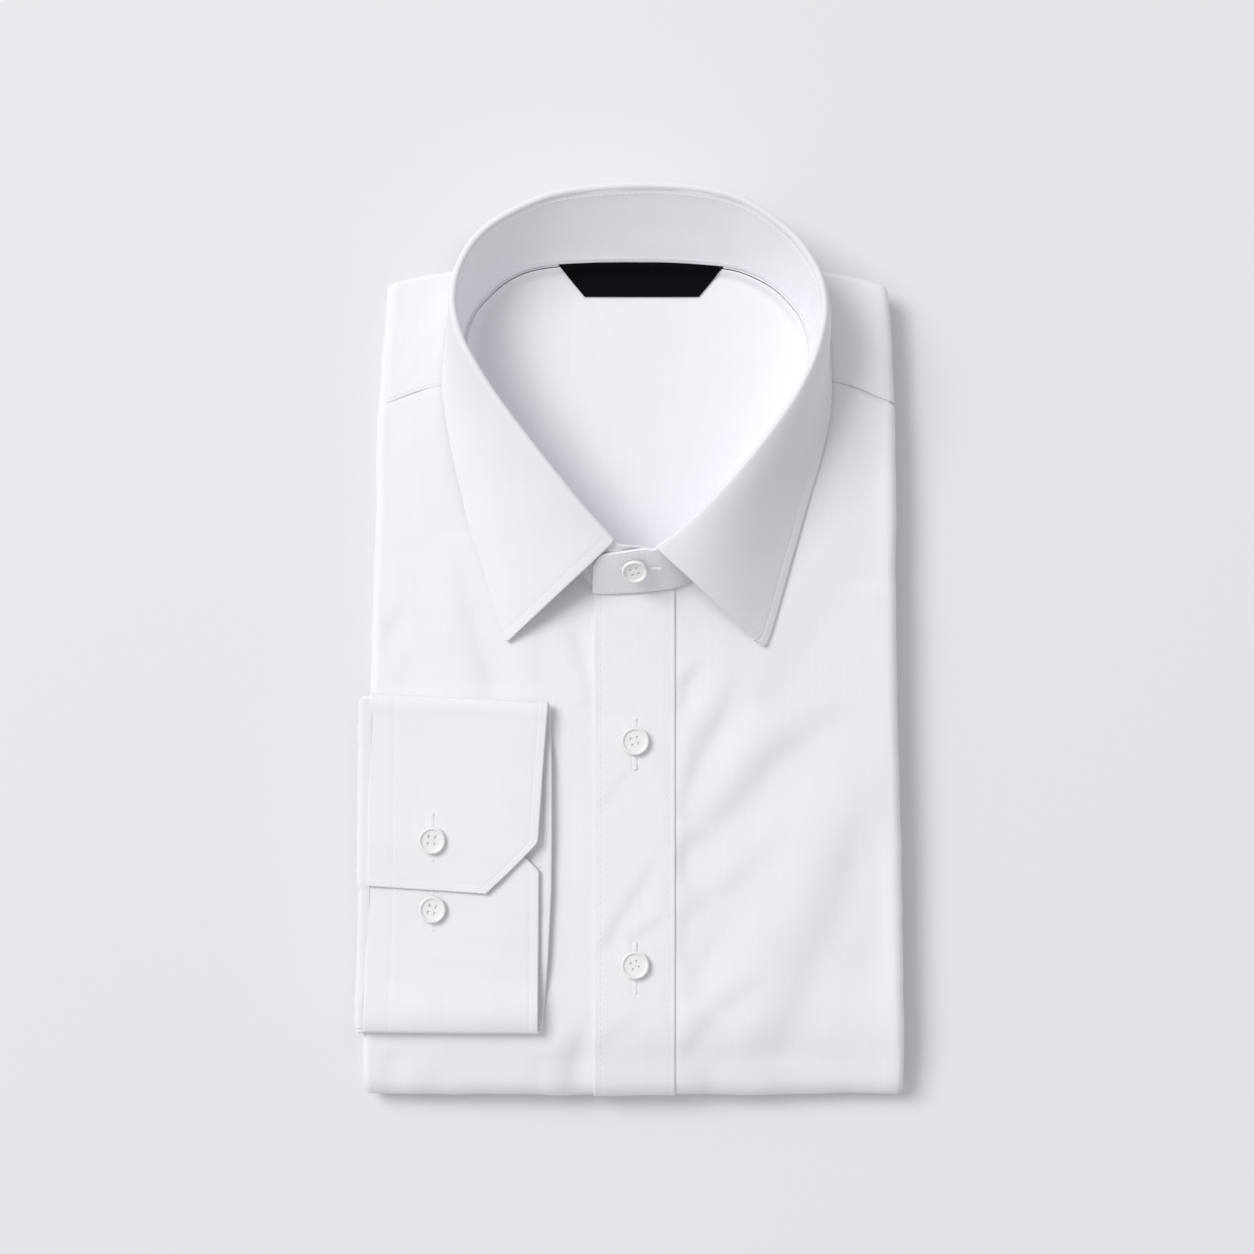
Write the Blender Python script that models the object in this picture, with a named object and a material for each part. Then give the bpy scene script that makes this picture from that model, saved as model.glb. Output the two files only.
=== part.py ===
"""A white dress shirt, folded flat, with its collar standing open and one cuff on the front.

Sizes are in millimetres and become metres where each mesh is made. The shirt lies on the
floor plane: +Z is up, +Y runs to the collar, +X is to the right as seen from above.
"""
import math

import bmesh
import bpy
from mathutils import Matrix, Vector, geometry

MM = 0.001

# Cloth and clearances
CLOTH = 1.5
COLLAR_CLOTH = 1.6
GAP = 0.3
PLACKET_RISE = 0.8

# The folded body: side folds, the slit between its two halves, and the bottom fold
SIDE_RETURN = 10.0
SLIT = 0.4
TURN_SLIT = 1.2
SLEEVE_SLIT = 2.1
TURN_Y = -158.0
TURN_DEPTH = 9.8
HEM_Y = 148.0
LOWER_INSET = 2.0
CORE_INSET = 18.8
CORE_SLACK = 0.4
CORE_FLOOR = 3.7

# The placket
PLACKET_LEFT = -16.6
PLACKET_RIGHT = 16.0
PLACKET_TOP = 39.6
PLACKET_REACH = 17.4
PLACKET_STEP = 1.6

# The collar: how far the leaf stands off the stand, and how deep it turns in over the roll
ROLL_WIDTH = 3.8
ROLL_TURN = 4.0
LEAF_STRAIGHT = (1.0, 0.6, 0.2)
STAND_LIFT = 1.1

# The cuff and the sleeve behind it
CUFF_TOP = -5.5
CUFF_BOTTOM = -142.3
CUFF_SEAM_INSET = 0.9
SLEEVE_CLOTH = 1.2
SLEEVE_HOLLOW = 0.9
SLEEVE_STAND_OFF = 2.1
SLEEVE_BEND = 2.6
SLEEVE_LIFT = 2.5
SLEEVE_TUCK = 8.0

# The neck opening's floor and its label
FLOOR_Z = 13.6
FACING_ROWS = 14
FACING_TOP = 173.6
LABEL_TOP_WIDTH = 68.0
LABEL_LOW_WIDTH = 46.0
LABEL_TOP_Y = 171.5
LABEL_DEPTH = 13.5
LABEL_CLOTH = 1.0

# Buttons
FRONT_BUTTON = 11.5
CUFF_BUTTON = 11.0
COLLAR_BUTTON = 10.6
BUTTON_THICK = 2.6
BUTTON_DISH = 0.7
BUTTON_RIM = 1.5
HOLE_WIDTH = 1.1
HOLE_SPACING = 2.6
FRONT_BUTTON_Y = (-22.6, -114.2)
CUFF_BUTTON_X = -82.8
CUFF_BUTTON_Y = (-63.1, -91.4)
CUFF_BUTTON_RISE = (6.3, 4.4)
COLLAR_BUTTON_PLACE = (-0.8, 47.9)
COLLAR_BUTTON_Z = 39.0
COLLAR_BUTTON_TILT = 45.0


def columns(names, rows):
    """A table whose rows are read by column name."""
    keys = names.split()
    return [dict(zip(keys, row)) for row in rows]


# Half widths of the body and the height of its top, on the centre line and at the side
BODY = columns("y left right middle edge", (
    (-168.0, 111.2, 110.4, 20.0, 16.4),
    (-158.0, 111.2, 110.6, 21.2, 17.0),
    (-113.0, 110.8, 110.7, 23.6, 18.0),
    (0.0, 109.0, 108.0, 24.4, 18.4),
    (60.0, 107.4, 107.6, 24.2, 18.4),
    (88.0, 106.8, 107.4, 23.4, 18.2),
    (117.0, 105.8, 107.0, 22.0, 17.8),
    (148.0, 103.6, 105.2, 19.0, 17.0),
    (165.0, 101.6, 103.8, 16.8, 16.2),
    (180.0, 100.0, 102.0, 15.6, 15.6),
))

# The largest folds of the fronts: soft troughs through three places, with depth and half width
FOLDS = columns("x1 y1 x2 y2 x3 y3 depth width", (
    (18.0, -66.0, 52.0, -44.0, 100.0, -2.0, 1.1, 9.0),
    (60.0, -145.0, 76.0, -98.0, 99.0, -49.0, 1.2, 10.0),
    (19.0, -43.0, 33.0, -19.0, 43.0, 11.0, 0.9, 8.0),
    (19.0, -92.0, 46.0, -80.0, 62.0, -50.0, 0.7, 7.0),
    (-72.0, 44.0, -64.0, 22.0, -50.0, -2.0, 0.9, 8.0),
))

# The collar from its right front round the back to its left front: the neck seam, the roll
# line with its height, the leaf's free edge, and the yoke's outline where the yoke is sewn on
NECK = columns("seam_x seam_y roll_x roll_y roll_z edge_x edge_y edge_z yoke_x yoke_y", (
    (-14.0, 40.0, -8.1, 60.0, 47.0, -52.7, 17.9, 26.6, 0, 0),
    (-27.5, 55.5, -20.1, 73.2, 49.5, -58.1, 33.4, 26.2, 0, 0),
    (-39.7, 72.0, -32.4, 88.3, 51.5, -62.6, 48.9, 26.0, 0, 0),
    (-52.5, 90.0, -44.4, 103.5, 52.5, -69.1, 69.4, 25.6, 0, 0),
    (-63.5, 110.0, -56.8, 120.3, 53.0, -74.8, 94.7, 24.8, 0, 0),
    (-69.0, 125.0, -64.4, 132.7, 53.0, -78.5, 114.8, 23.8, -105.6, 115.5),
    (-70.7, 136.5, -68.4, 140.3, 52.0, -79.4, 127.2, 22.8, -104.6, 133.0),
    (-69.8, 145.0, -71.2, 149.5, 51.0, -77.6, 143.9, 21.6, -103.4, 148.0),
    (-68.0, 150.5, -72.0, 157.1, 50.0, -75.6, 158.0, 20.6, -102.3, 160.0),
    (-65.3, 155.4, -70.6, 166.8, 48.0, -72.6, 171.0, 18.6, -98.4, 166.2),
    (-60.4, 160.9, -65.5, 177.7, 47.0, -66.6, 180.4, 9.0, -80.0, 170.4),
    (-54.3, 166.3, -57.1, 186.2, 46.5, -57.8, 188.6, 5.0, -66.0, 172.4),
    (-45.7, 170.8, -44.7, 193.3, 46.0, -45.2, 196.0, 4.0, -50.0, 175.2),
    (-34.5, 173.2, -32.6, 198.1, 45.5, -32.8, 201.0, 3.2, -35.0, 177.6),
    (-19.0, 174.2, -18.6, 200.5, 45.0, -18.6, 203.6, 2.6, -19.0, 178.6),
    (-3.3, 174.5, -3.3, 201.7, 45.0, -3.3, 204.6, 2.4, -3.3, 178.9),
    (12.0, 174.3, 12.0, 201.7, 45.0, 12.0, 204.6, 2.6, 12.0, 178.7),
    (27.5, 173.4, 27.7, 200.1, 45.5, 27.8, 203.0, 3.2, 28.0, 177.8),
    (40.5, 172.0, 41.3, 196.4, 46.0, 41.7, 199.2, 4.0, 43.0, 176.4),
    (49.5, 168.8, 52.2, 190.0, 46.5, 53.0, 192.6, 5.0, 57.0, 173.9),
    (57.5, 164.2, 63.0, 181.0, 47.0, 64.2, 183.6, 9.0, 72.0, 171.6),
    (63.5, 158.6, 70.6, 170.0, 48.0, 72.8, 173.8, 17.6, 86.0, 169.2),
    (68.0, 152.8, 74.0, 160.5, 49.5, 76.4, 161.6, 20.6, 100.8, 165.2),
    (70.8, 146.5, 74.8, 151.3, 50.0, 78.2, 151.0, 21.2, 104.8, 158.0),
    (72.2, 139.0, 73.2, 142.0, 51.0, 79.8, 141.0, 22.0, 105.6, 138.0),
    (71.3, 127.5, 69.6, 131.0, 52.0, 80.8, 124.5, 23.2, 107.0, 116.5),
    (67.5, 111.5, 62.7, 117.4, 53.0, 79.8, 110.4, 24.0, 0, 0),
    (59.0, 94.5, 51.9, 101.9, 53.0, 75.2, 90.0, 24.9, 0, 0),
    (48.0, 76.0, 41.1, 88.3, 52.5, 69.3, 70.0, 25.5, 0, 0),
    (36.0, 60.0, 28.7, 74.4, 51.5, 63.0, 48.0, 26.0, 0, 0),
    (25.5, 47.5, 16.7, 63.2, 49.0, 57.0, 26.0, 26.2, 0, 0),
    (17.5, 41.4, 8.2, 57.2, 46.5, 53.2, 15.4, 26.6, 0, 0),
))
YOKE_FIRST = 5
YOKE_LAST = 25

# The stand's ends past the leaf: the buttonhole end lies over the button end
STAND_BUTTON_END = columns("seam_x seam_y roll_x roll_y roll_z", (
    (12.0, 44.6, 14.0, 60.6, 40.0),
    (0.0, 43.0, 3.0, 60.4, 43.0),
))
STAND_HOLE_END = columns("seam_x seam_y roll_x roll_y roll_z", (
    (4.0, 39.2, 2.0, 56.2, 45.0),
    (-6.0, 38.6, -6.0, 55.0, 44.2),
    (-14.0, 38.6, -12.4, 53.4, 42.6),
    (-16.8, 39.4, -15.6, 49.4, 37.6),
))

# The cuff's strip from its buttonhole end, over the top fold, beneath, over the bottom fold
# and in under its other end: place along Y, height over the front, and its right edge
CUFF = columns("y rise right", (
    (-83.4, 5.7, -61.0),
    (-73.0, 5.9, -50.4),
    (-63.0, 6.0, -40.0),
    (-48.0, 5.5, -38.9),
    (-30.0, 4.8, -37.7),
    (-14.0, 4.6, -36.5),
    (-7.6, 4.6, -36.0),
    (-6.1, 4.0, -35.9),
    (-5.5, 2.5, -35.8),
    (-6.1, 1.0, -35.4),
    (-7.6, 0.4, -35.2),
    (-30.0, 0.4, -34.5),
    (-60.0, 0.4, -34.4),
    (-84.0, 0.4, -34.6),
    (-112.0, 0.4, -36.0),
    (-140.2, 0.4, -38.4),
    (-141.7, 1.0, -38.8),
    (-142.3, 2.4, -39.4),
    (-141.7, 3.8, -40.0),
    (-140.2, 4.4, -40.1),
    (-120.0, 4.3, -40.0),
    (-96.0, 4.0, -39.8),
    (-84.0, 3.8, -39.7),
    (-75.6, 3.8, -39.6),
    (-65.0, 3.8, -50.2),
    (-54.4, 3.8, -61.0),
))

WHITE_COTTON = ("white cotton", (0.86, 0.85, 0.87), 0.85)
STIFF_COTTON = ("white collar cotton", (0.88, 0.87, 0.89), 0.8)
BLACK_SATIN = ("black satin", (0.012, 0.012, 0.016), 0.4)
PEARL = ("pearl button", (0.87, 0.86, 0.83), 0.2)


def read(table, key, value, column):
    """Smooth value of one column where the key column has the given value."""
    if value <= table[0][key]:
        return table[0][column]
    if value >= table[-1][key]:
        return table[-1][column]
    start = next(n for n in range(len(table) - 1) if value <= table[n + 1][key])

    def slope(n):
        low = table[max(n - 1, 0)]
        high = table[min(n + 1, len(table) - 1)]
        return (high[column] - low[column]) / (high[key] - low[key])

    span = table[start + 1][key] - table[start][key]
    t = (value - table[start][key]) / span
    first = table[start][column]
    last = table[start + 1][column]
    rise = 3 * t * t - 2 * t ** 3
    ease_in = (t ** 3 - 2 * t * t + t) * span
    ease_out = (t ** 3 - t * t) * span
    return first + (last - first) * rise + slope(start) * ease_in + slope(start + 1) * ease_out


def smooth_step(low, high, value):
    """Nought below low, one above high, with a soft change between them."""
    t = min(max((value - low) / (high - low), 0.0), 1.0)
    return t * t * (3 - 2 * t)


def spread(first, last, count):
    """Evenly spaced values from first to last."""
    return [first + (last - first) * n / (count - 1) for n in range(count)]


def blend(first, last, share):
    """A value or point part of the way from first to last."""
    return first + (last - first) * share


def half_width(x, y):
    """The body's half width at y on the side where x lies."""
    return read(BODY, "y", y, "left" if x < 0 else "right")


def distance_to_line(x, y, a, b):
    """Distance from a place to the stretch between two places, and how far along it lies."""
    along = b - a
    share = ((x - a.x) * along.x + (y - a.y) * along.y) / along.length_squared
    held = min(max(share, 0.0), 1.0)
    foot = a + along * held
    return math.hypot(x - foot.x, y - foot.y), share


def fold_depth(x, y):
    """How far the largest folds sink the cloth at a place."""
    depth = 0.0
    for fold in FOLDS:
        places = [Vector((fold["x%d" % n], fold["y%d" % n])) for n in (1, 2, 3)]
        first, share_in = distance_to_line(x, y, places[0], places[1])
        second, share_out = distance_to_line(x, y, places[1], places[2])
        fade = smooth_step(-0.25, 0.25, share_in) * (1 - smooth_step(0.75, 1.25, share_out))
        near = min(first, second) / fold["width"]
        depth = max(depth, fold["depth"] * fade * math.exp(-near * near))
    return depth


def top_z(x, y):
    """Height of the folded body's upper face: crowned over the width, with its folds."""
    middle = read(BODY, "y", y, "middle")
    edge = read(BODY, "y", y, "edge")
    share = min(abs(x) / half_width(x, y), 1.0)
    keep = smooth_step(PLACKET_RIGHT, PLACKET_RIGHT + 6, abs(x))
    return edge + (middle - edge) * (1 - share * share) - fold_depth(x, y) * keep


def slit_at(side, y):
    """Half height of the slit between the two halves of the fold."""
    slit = blend(TURN_SLIT, SLIT, smooth_step(TURN_Y + 2, TURN_Y + 12, y))
    if side < 0:
        inside = smooth_step(CUFF_BOTTOM - 9, CUFF_BOTTOM - 2, y)
        inside *= 1 - smooth_step(CUFF_TOP + 2, CUFF_TOP + 12, y)
        slit = blend(slit, SLEEVE_SLIT, inside)
    return slit


def lay(x, depth, y, turn, height):
    """Place of folded cloth: its depth under the outer face, and its turn round the fold."""
    half = height / 2
    reach = half - depth
    angle = math.radians(turn)
    out = TURN_DEPTH * reach / half * math.cos(angle)
    return Vector((x, y - out, half + reach * math.sin(angle)))


def side_radius(side, y):
    """Radius of the side fold of one half, outside the cloth."""
    edge = read(BODY, "y", y, "edge")
    return (edge / 2 - slit_at(side, y)) / 2


def material(look):
    """The one material of each name."""
    name, colour, roughness = look
    made = bpy.data.materials.get(name)
    if made is None:
        made = bpy.data.materials.new(name)
        made.use_nodes = True
        shader = made.node_tree.nodes["Principled BSDF"]
        shader.inputs["Base Color"].default_value = (*colour, 1.0)
        shader.inputs["Roughness"].default_value = roughness
        shader.inputs["Metallic"].default_value = 0.0
    return made


def make_object(name, points, faces, look):
    """One closed body from points in millimetres, its faces turned outward."""
    mesh = bpy.data.meshes.new(name)
    mesh.from_pydata([tuple(p * MM) for p in points], [], faces)
    body = bmesh.new()
    body.from_mesh(mesh)
    bmesh.ops.triangulate(body, faces=body.faces[:])
    bmesh.ops.recalc_face_normals(body, faces=body.faces[:])
    body.to_mesh(mesh)
    body.free()
    mesh.materials.append(material(look))
    mesh.shade_smooth()
    mesh.set_sharp_from_angle(angle=math.radians(50))
    piece = bpy.data.objects.new(name, mesh)
    bpy.context.scene.collection.objects.link(piece)
    return piece


def grid_normals(grid):
    """The normal at each point of a grid, from the points beside it."""
    rows = len(grid)
    across = len(grid[0])
    normals = []
    for i in range(rows):
        line = []
        for j in range(across):
            along = grid[min(i + 1, rows - 1)][j] - grid[max(i - 1, 0)][j]
            over = grid[i][min(j + 1, across - 1)] - grid[i][max(j - 1, 0)]
            line.append(along.cross(over).normalized())
        normals.append(line)
    return normals


def wall(name, grid, thickness, look):
    """A cloth wall: the grid is its outer face, and its inner face is moved in.

    The thickness is signed: its sign picks the side on which the inner face lies.
    """
    normals = grid_normals(grid)
    rows = len(grid)
    across = len(grid[0])
    outer = [p for line in grid for p in line]
    inner = [grid[i][j] + normals[i][j] * thickness for i in range(rows) for j in range(across)]
    shift = len(outer)
    faces = []
    for i in range(rows - 1):
        for j in range(across - 1):
            corner = i * across + j
            quad = (corner, corner + 1, corner + across + 1, corner + across)
            faces.append(quad)
            faces.append(tuple(n + shift for n in reversed(quad)))
    rim = [j for j in range(across)]
    rim += [i * across + across - 1 for i in range(1, rows)]
    rim += [(rows - 1) * across + j for j in range(across - 2, -1, -1)]
    rim += [i * across for i in range(rows - 2, 0, -1)]
    for n, corner in enumerate(rim):
        after = rim[(n + 1) % len(rim)]
        faces.append((corner, corner + shift, after + shift, after))
    return make_object(name, outer + inner, faces, look)


def path_rows():
    """Places down the front, round the bottom fold and back up to the hem."""
    upper = [(y, 90.0) for y in (-16, -32, -48, -64, -80, -96, -112, -128, -142, -151)]
    turned = [(TURN_Y, angle) for angle in spread(90, -90, 9)]
    lower = [(y, -90.0) for y in (-148, -138, -80, -5, 10, 70, 115, HEM_Y)]
    return upper + turned + lower


def body_inset(turn):
    """How much narrower the lower half lies than the upper half."""
    return LOWER_INSET * smooth_step(0, 1, -math.sin(math.radians(turn)))


def front_line(side, inner, outer_y, turn, dip_deep):
    """One line of a front, from its inner edge over the side fold and into the slit."""
    inner_x, inner_y = inner
    width = half_width(side, outer_y) - body_inset(turn)
    radius = side_radius(side, outer_y)
    line = []
    flat = width - radius
    start = abs(inner_x)
    across = spread(start, flat, 10)
    if start < PLACKET_REACH:
        across = [start, PLACKET_REACH, PLACKET_REACH + PLACKET_STEP]
        across += spread(PLACKET_REACH + 10, flat, 7)
    for x in across:
        y = blend(inner_y, outer_y, (x - start) / (flat - start))
        deep = dip_deep if x <= PLACKET_REACH else 0.0
        line.append(lay(side * x, deep, y, turn, top_z(side * x, y)))
    height = top_z(side * flat, outer_y)
    for angle in spread(30, 180, 6):
        bend = math.radians(angle)
        x = flat + radius * math.sin(bend)
        line.append(lay(side * x, radius * (1 - math.cos(bend)), outer_y, turn, height))
    line.append(lay(side * (flat - SIDE_RETURN), 2 * radius, outer_y, turn, height))
    return line


def make_front(name, side, stations):
    """A front: from the yoke seam and the neck, round the bottom fold, to the hem."""
    outer_ys = (115.6, 106.0, 95.0, 83.0, 69.0, 52.0, 36.0)
    rows = []
    dip_top = CLOTH + GAP - PLACKET_RISE
    for station, outer_y in zip(stations, outer_ys):
        row = NECK[station]
        inward = Vector((0.0, 90.0)) - Vector((row["seam_x"], row["seam_y"]))
        seam = Vector((row["seam_x"], row["seam_y"])) + inward.normalized() * 1.2
        if station == stations[0]:
            seam.y -= 0.5
            outer_y -= 0.5
        rows.append(front_line(side, seam, outer_y, 90.0, dip_top))
    rows.append(front_line(side, (0.2, 37.0), 24.0, 90.0, dip_top))
    rows.append(front_line(side, (0.2, 18.0), 8.0, 90.0, dip_top))
    rows.append(front_line(side, (0.2, 0.0), -4.0, 90.0, dip_top))
    for y, turn in path_rows():
        deep = blend(dip_top, CLOTH + GAP, smooth_step(-1, 1, -math.sin(math.radians(turn))))
        rows.append(front_line(side, (0.2, y), y, turn, deep))
    return wall(name, rows, -side * CLOTH, WHITE_COTTON)


def make_placket():
    """The placket strip, proud of the fronts above and flush with them below."""
    rows = []
    ys = [(PLACKET_TOP, 90.0), (26.0, 90.0), (10.0, 90.0), (-4.0, 90.0)]
    for y, turn in ys + path_rows():
        line = []
        proud = PLACKET_RISE * smooth_step(-1, 1, math.sin(math.radians(turn)))
        for x in spread(PLACKET_LEFT, PLACKET_RIGHT, 6):
            line.append(lay(x, -proud, y, turn, top_z(x, y)))
        rows.append(line)
    return wall("placket", rows, -CLOTH, WHITE_COTTON)


def make_yoke():
    """The yoke: from the neck seam out over the shoulder folds and back beneath them."""
    lines = []
    for n in range(YOKE_FIRST, YOKE_LAST + 1):
        row = NECK[n]
        seam = Vector((row["seam_x"], row["seam_y"]))
        edge = Vector((row["yoke_x"], row["yoke_y"]))
        seam += (Vector((0.0, 120.0)) - seam).normalized() * 0.8
        out = (edge - seam).normalized()
        height = top_z(edge.x, edge.y)
        radius = (height / 2 - SLIT) / 2
        flat = edge - out * radius
        line = []
        for share in (0.0, 0.25, 0.5, 0.75, 1.0):
            place = blend(seam, flat, share)
            line.append(Vector((place.x, place.y, top_z(place.x, place.y))))
        for angle in spread(30, 180, 6):
            bend = math.radians(angle)
            place = flat + out * radius * math.sin(bend)
            line.append(Vector((place.x, place.y, height - radius * (1 - math.cos(bend)))))
        back = flat - out * (SIDE_RETURN - 4)
        line.append(Vector((back.x, back.y, height - 2 * radius)))
        lines.append(line)
    return wall("yoke", lines, -CLOTH, WHITE_COTTON)


def neck_outline(grow):
    """The neck seam's places, moved out from the neck's middle."""
    middle = Vector((0.0, 115.0))
    places = []
    for row in NECK:
        seam = Vector((row["seam_x"], row["seam_y"]))
        places.append(seam + (seam - middle).normalized() * grow)
    return places


def inside_neck(x, y):
    """How far a place lies inside the neck seam, or outside it when negative."""
    places = neck_outline(0.0)
    best = 1e9
    inside = False
    for a, b in zip(places, places[1:] + places[:1]):
        best = min(best, distance_to_line(x, y, a, b)[0])
        if (a.y > y) != (b.y > y) and x < a.x + (y - a.y) * (b.x - a.x) / (b.y - a.y):
            inside = not inside
    return best if inside else -best


def make_yoke_facing():
    """The flat inner layer under the neck opening."""
    rows = []
    for n in range(FACING_ROWS):
        left = NECK[n]
        right = NECK[-1 - n]
        y = min((left["seam_y"] + right["seam_y"]) / 2, FACING_TOP)
        rows.append([Vector((x, y, FLOOR_Z)) for x in spread(left["seam_x"], right["seam_x"], 9)])
    return wall("yoke_facing", rows, CLOTH, WHITE_COTTON)


def stand_rows():
    """The stand's lines in order, from its button end round to its buttonhole end."""
    return STAND_BUTTON_END + NECK + STAND_HOLE_END


def seam_place(row):
    """The stand's lower edge, resting on what it is sewn to."""
    x = row["seam_x"]
    y = row["seam_y"]
    over_placket = 1 - smooth_step(17, 24, abs(x))
    lift = STAND_LIFT + PLACKET_RISE * over_placket * (y < 50)
    return Vector((x, y, top_z(x, y) + lift))


def roll_place(row):
    """The roll line's place."""
    return Vector((row["roll_x"], row["roll_y"], row["roll_z"]))


def make_stand():
    """The collar stand: a band from the neck seam up to just under the roll."""
    lines = []
    rows = stand_rows()
    bare = len(STAND_BUTTON_END)
    for n, row in enumerate(rows):
        seam = seam_place(row)
        roll = roll_place(row)
        up = (roll - seam).normalized()
        leafed = bare <= n < bare + len(NECK)
        top = roll - up * (ROLL_TURN + GAP) if leafed else roll - up * 1.0
        lines.append([blend(seam, top, share) for share in (0, 0.33, 0.67, 1)])
    return wall("collar_stand", lines, -COLLAR_CLOTH, STIFF_COTTON)


def leaf_line(row, along, straight):
    """One line of the leaf: in over the roll, then down outside to its free edge.

    The straight share, up to one, pulls the line's plan to a straight one, as the front
    edges are.
    """
    seam = seam_place(row)
    roll = roll_place(row)
    up = (roll - seam).normalized()
    out = along.cross(up).normalized()
    edge = Vector((row["edge_x"], row["edge_y"], row["edge_z"]))
    radius = ROLL_WIDTH / 2
    middle = roll + out * radius - up * radius
    line = [roll - up * ROLL_TURN]
    for angle in spread(180, 20, 6):
        bend = math.radians(angle)
        line.append(middle + out * radius * math.cos(bend) + up * radius * math.sin(bend))
    start = line[-1]
    span = (edge - start).length
    first = start - up * span * 0.36 + out * span * 0.10
    flat = Vector((roll.x - edge.x, roll.y - edge.y, 0))
    last = edge + flat * 0.30 + Vector((0, 0, span * 0.16))
    for t in spread(0, 1, 8)[1:]:
        s = 1 - t
        place = start * s ** 3 + first * 3 * s * s * t + last * 3 * s * t * t + edge * t ** 3
        chord = (edge - start).to_2d()
        share_on = (place - start).to_2d().dot(chord) / chord.length_squared
        flat_place = start.to_2d() + chord * share_on
        line.append(blend(place, Vector((flat_place.x, flat_place.y, place.z)), straight))
    return line


def make_leaf():
    """The collar leaf, from point to point round the back."""
    lines = []
    for n, row in enumerate(NECK):
        before = roll_place(NECK[max(n - 1, 0)])
        after = roll_place(NECK[min(n + 1, len(NECK) - 1)])
        from_end = min(n, len(NECK) - 1 - n)
        straight = LEAF_STRAIGHT[from_end] if from_end < len(LEAF_STRAIGHT) else 0.0
        lines.append(leaf_line(row, (before - after).normalized(), straight))
    return wall("collar_leaf", lines, -COLLAR_CLOTH, STIFF_COTTON)


def make_label():
    """The bare neck label on the facing: wider at its top edge."""
    top = FLOOR_Z + GAP + LABEL_CLOTH
    lines = []
    for share in (0.0, 0.5, 1.0):
        wide = blend(LABEL_TOP_WIDTH, LABEL_LOW_WIDTH, share) / 2
        y = LABEL_TOP_Y - LABEL_DEPTH * share
        lines.append([Vector((x, y, top)) for x in spread(-wide, wide, 5)])
    return wall("neck_label", lines, -LABEL_CLOTH, BLACK_SATIN)


def make_cuff():
    """The cuff: one strip wound flat, its mitred buttonhole end over its other end."""
    lines = []
    for row in CUFF:
        y = row["y"]
        left = CUFF_SEAM_INSET - half_width(-1, y)
        line = [Vector((x, y, top_z(x, y) + row["rise"])) for x in spread(left, row["right"], 7)]
        lines.append(line)
    return wall("cuff", lines, CLOTH, STIFF_COTTON)


def sleeve_loop(half_thick, shorten):
    """The flattened sleeve's section: places along Y with their offset, one way round."""
    low = CUFF_BOTTOM + shorten + half_thick
    high = CUFF_TOP - shorten - half_thick
    loop = [(y, half_thick) for y in spread(low, high, 6)]
    for angle in (45, 0, -45):
        bend = math.radians(angle)
        loop.append((high + half_thick * math.cos(bend), half_thick * math.sin(bend)))
    loop += [(y, -half_thick) for y in spread(high, low, 6)]
    for angle in (-135, 180, 135):
        bend = math.radians(angle)
        loop.append((low + half_thick * math.cos(bend), half_thick * math.sin(bend)))
    return loop


def sleeve_place(stage, y, offset):
    """A place on the sleeve as it goes over the body's side and into the slit."""
    edge = read(BODY, "y", y, "edge")
    side = -(half_width(-1, y) + SLEEVE_STAND_OFF) + SLEEVE_BEND
    high = edge + SLEEVE_LIFT - SLEEVE_BEND
    low = edge / 2 + SLEEVE_BEND
    if stage == "tuck":
        return Vector((side + SLEEVE_TUCK, y, low - SLEEVE_BEND - offset))
    bend = math.radians(stage)
    centre = high if stage <= 180 else low
    reach = SLEEVE_BEND + offset
    return Vector((side + reach * math.cos(bend), y, centre + reach * math.sin(bend)))


def make_sleeve():
    """The sleeve's flat tube between the cuff and the slit in the body's side."""
    stages = (92, 115, 140, 160, 180, 200, 220, 245, 270, "tuck")
    half = SLEEVE_CLOTH + SLEEVE_HOLLOW / 2
    points = []
    for half_thick, shorten in ((half, 0.0), (SLEEVE_HOLLOW / 2, SLEEVE_CLOTH)):
        loop = sleeve_loop(half_thick, shorten)
        for stage in stages:
            points += [sleeve_place(stage, y, offset) for y, offset in loop]
    across = len(sleeve_loop(half, 0.0))
    shift = across * len(stages)
    faces = []
    for i in range(len(stages) - 1):
        for j in range(across):
            after = (j + 1) % across
            corner = i * across
            quad = (corner + j, corner + after, corner + across + after, corner + across + j)
            faces.append(quad)
            faces.append(tuple(n + shift for n in reversed(quad)))
    for corner in (0, shift - across):
        for j in range(across):
            after = (j + 1) % across
            faces.append((corner + j, corner + after, corner + after + shift, corner + j + shift))
    return make_object("sleeve_right", points, faces, WHITE_COTTON)


def core_limit(x, y):
    """Top of the hidden layers: under the fronts, and lower still under the neck opening."""
    crowned = top_z(x, y) + fold_depth(x, y) - CLOTH - GAP - 1.6
    return blend(crowned, FLOOR_Z - CLOTH - GAP, smooth_step(-26, -14, inside_neck(x, y)))


def core_profile(edge_place, out, height, slit, slack):
    """The hidden layers' outline at one place: two rounded folds with a slit between."""
    radius = (height / 2 - slit) / 2
    small = radius - CLOTH - GAP - slack
    bends = [math.radians(angle) for angle in (-90, -40, 0, 40, 90)]
    steps = [(LOWER_INSET + radius - small * math.cos(b), radius + small * math.sin(b))
             for b in bends]
    steps += [(CORE_INSET, radius + small), (CORE_INSET, height - radius - small)]
    steps += [(radius - small * math.cos(b), height - radius + small * math.sin(b))
              for b in bends]
    line = []
    for inset, z in steps:
        place = edge_place - out * inset
        low = CORE_FLOOR if abs(place.x) < PLACKET_REACH + 9 else 0.0
        line.append(Vector((place.x, place.y, max(low, min(z, core_limit(place.x, place.y))))))
    return line


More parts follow.
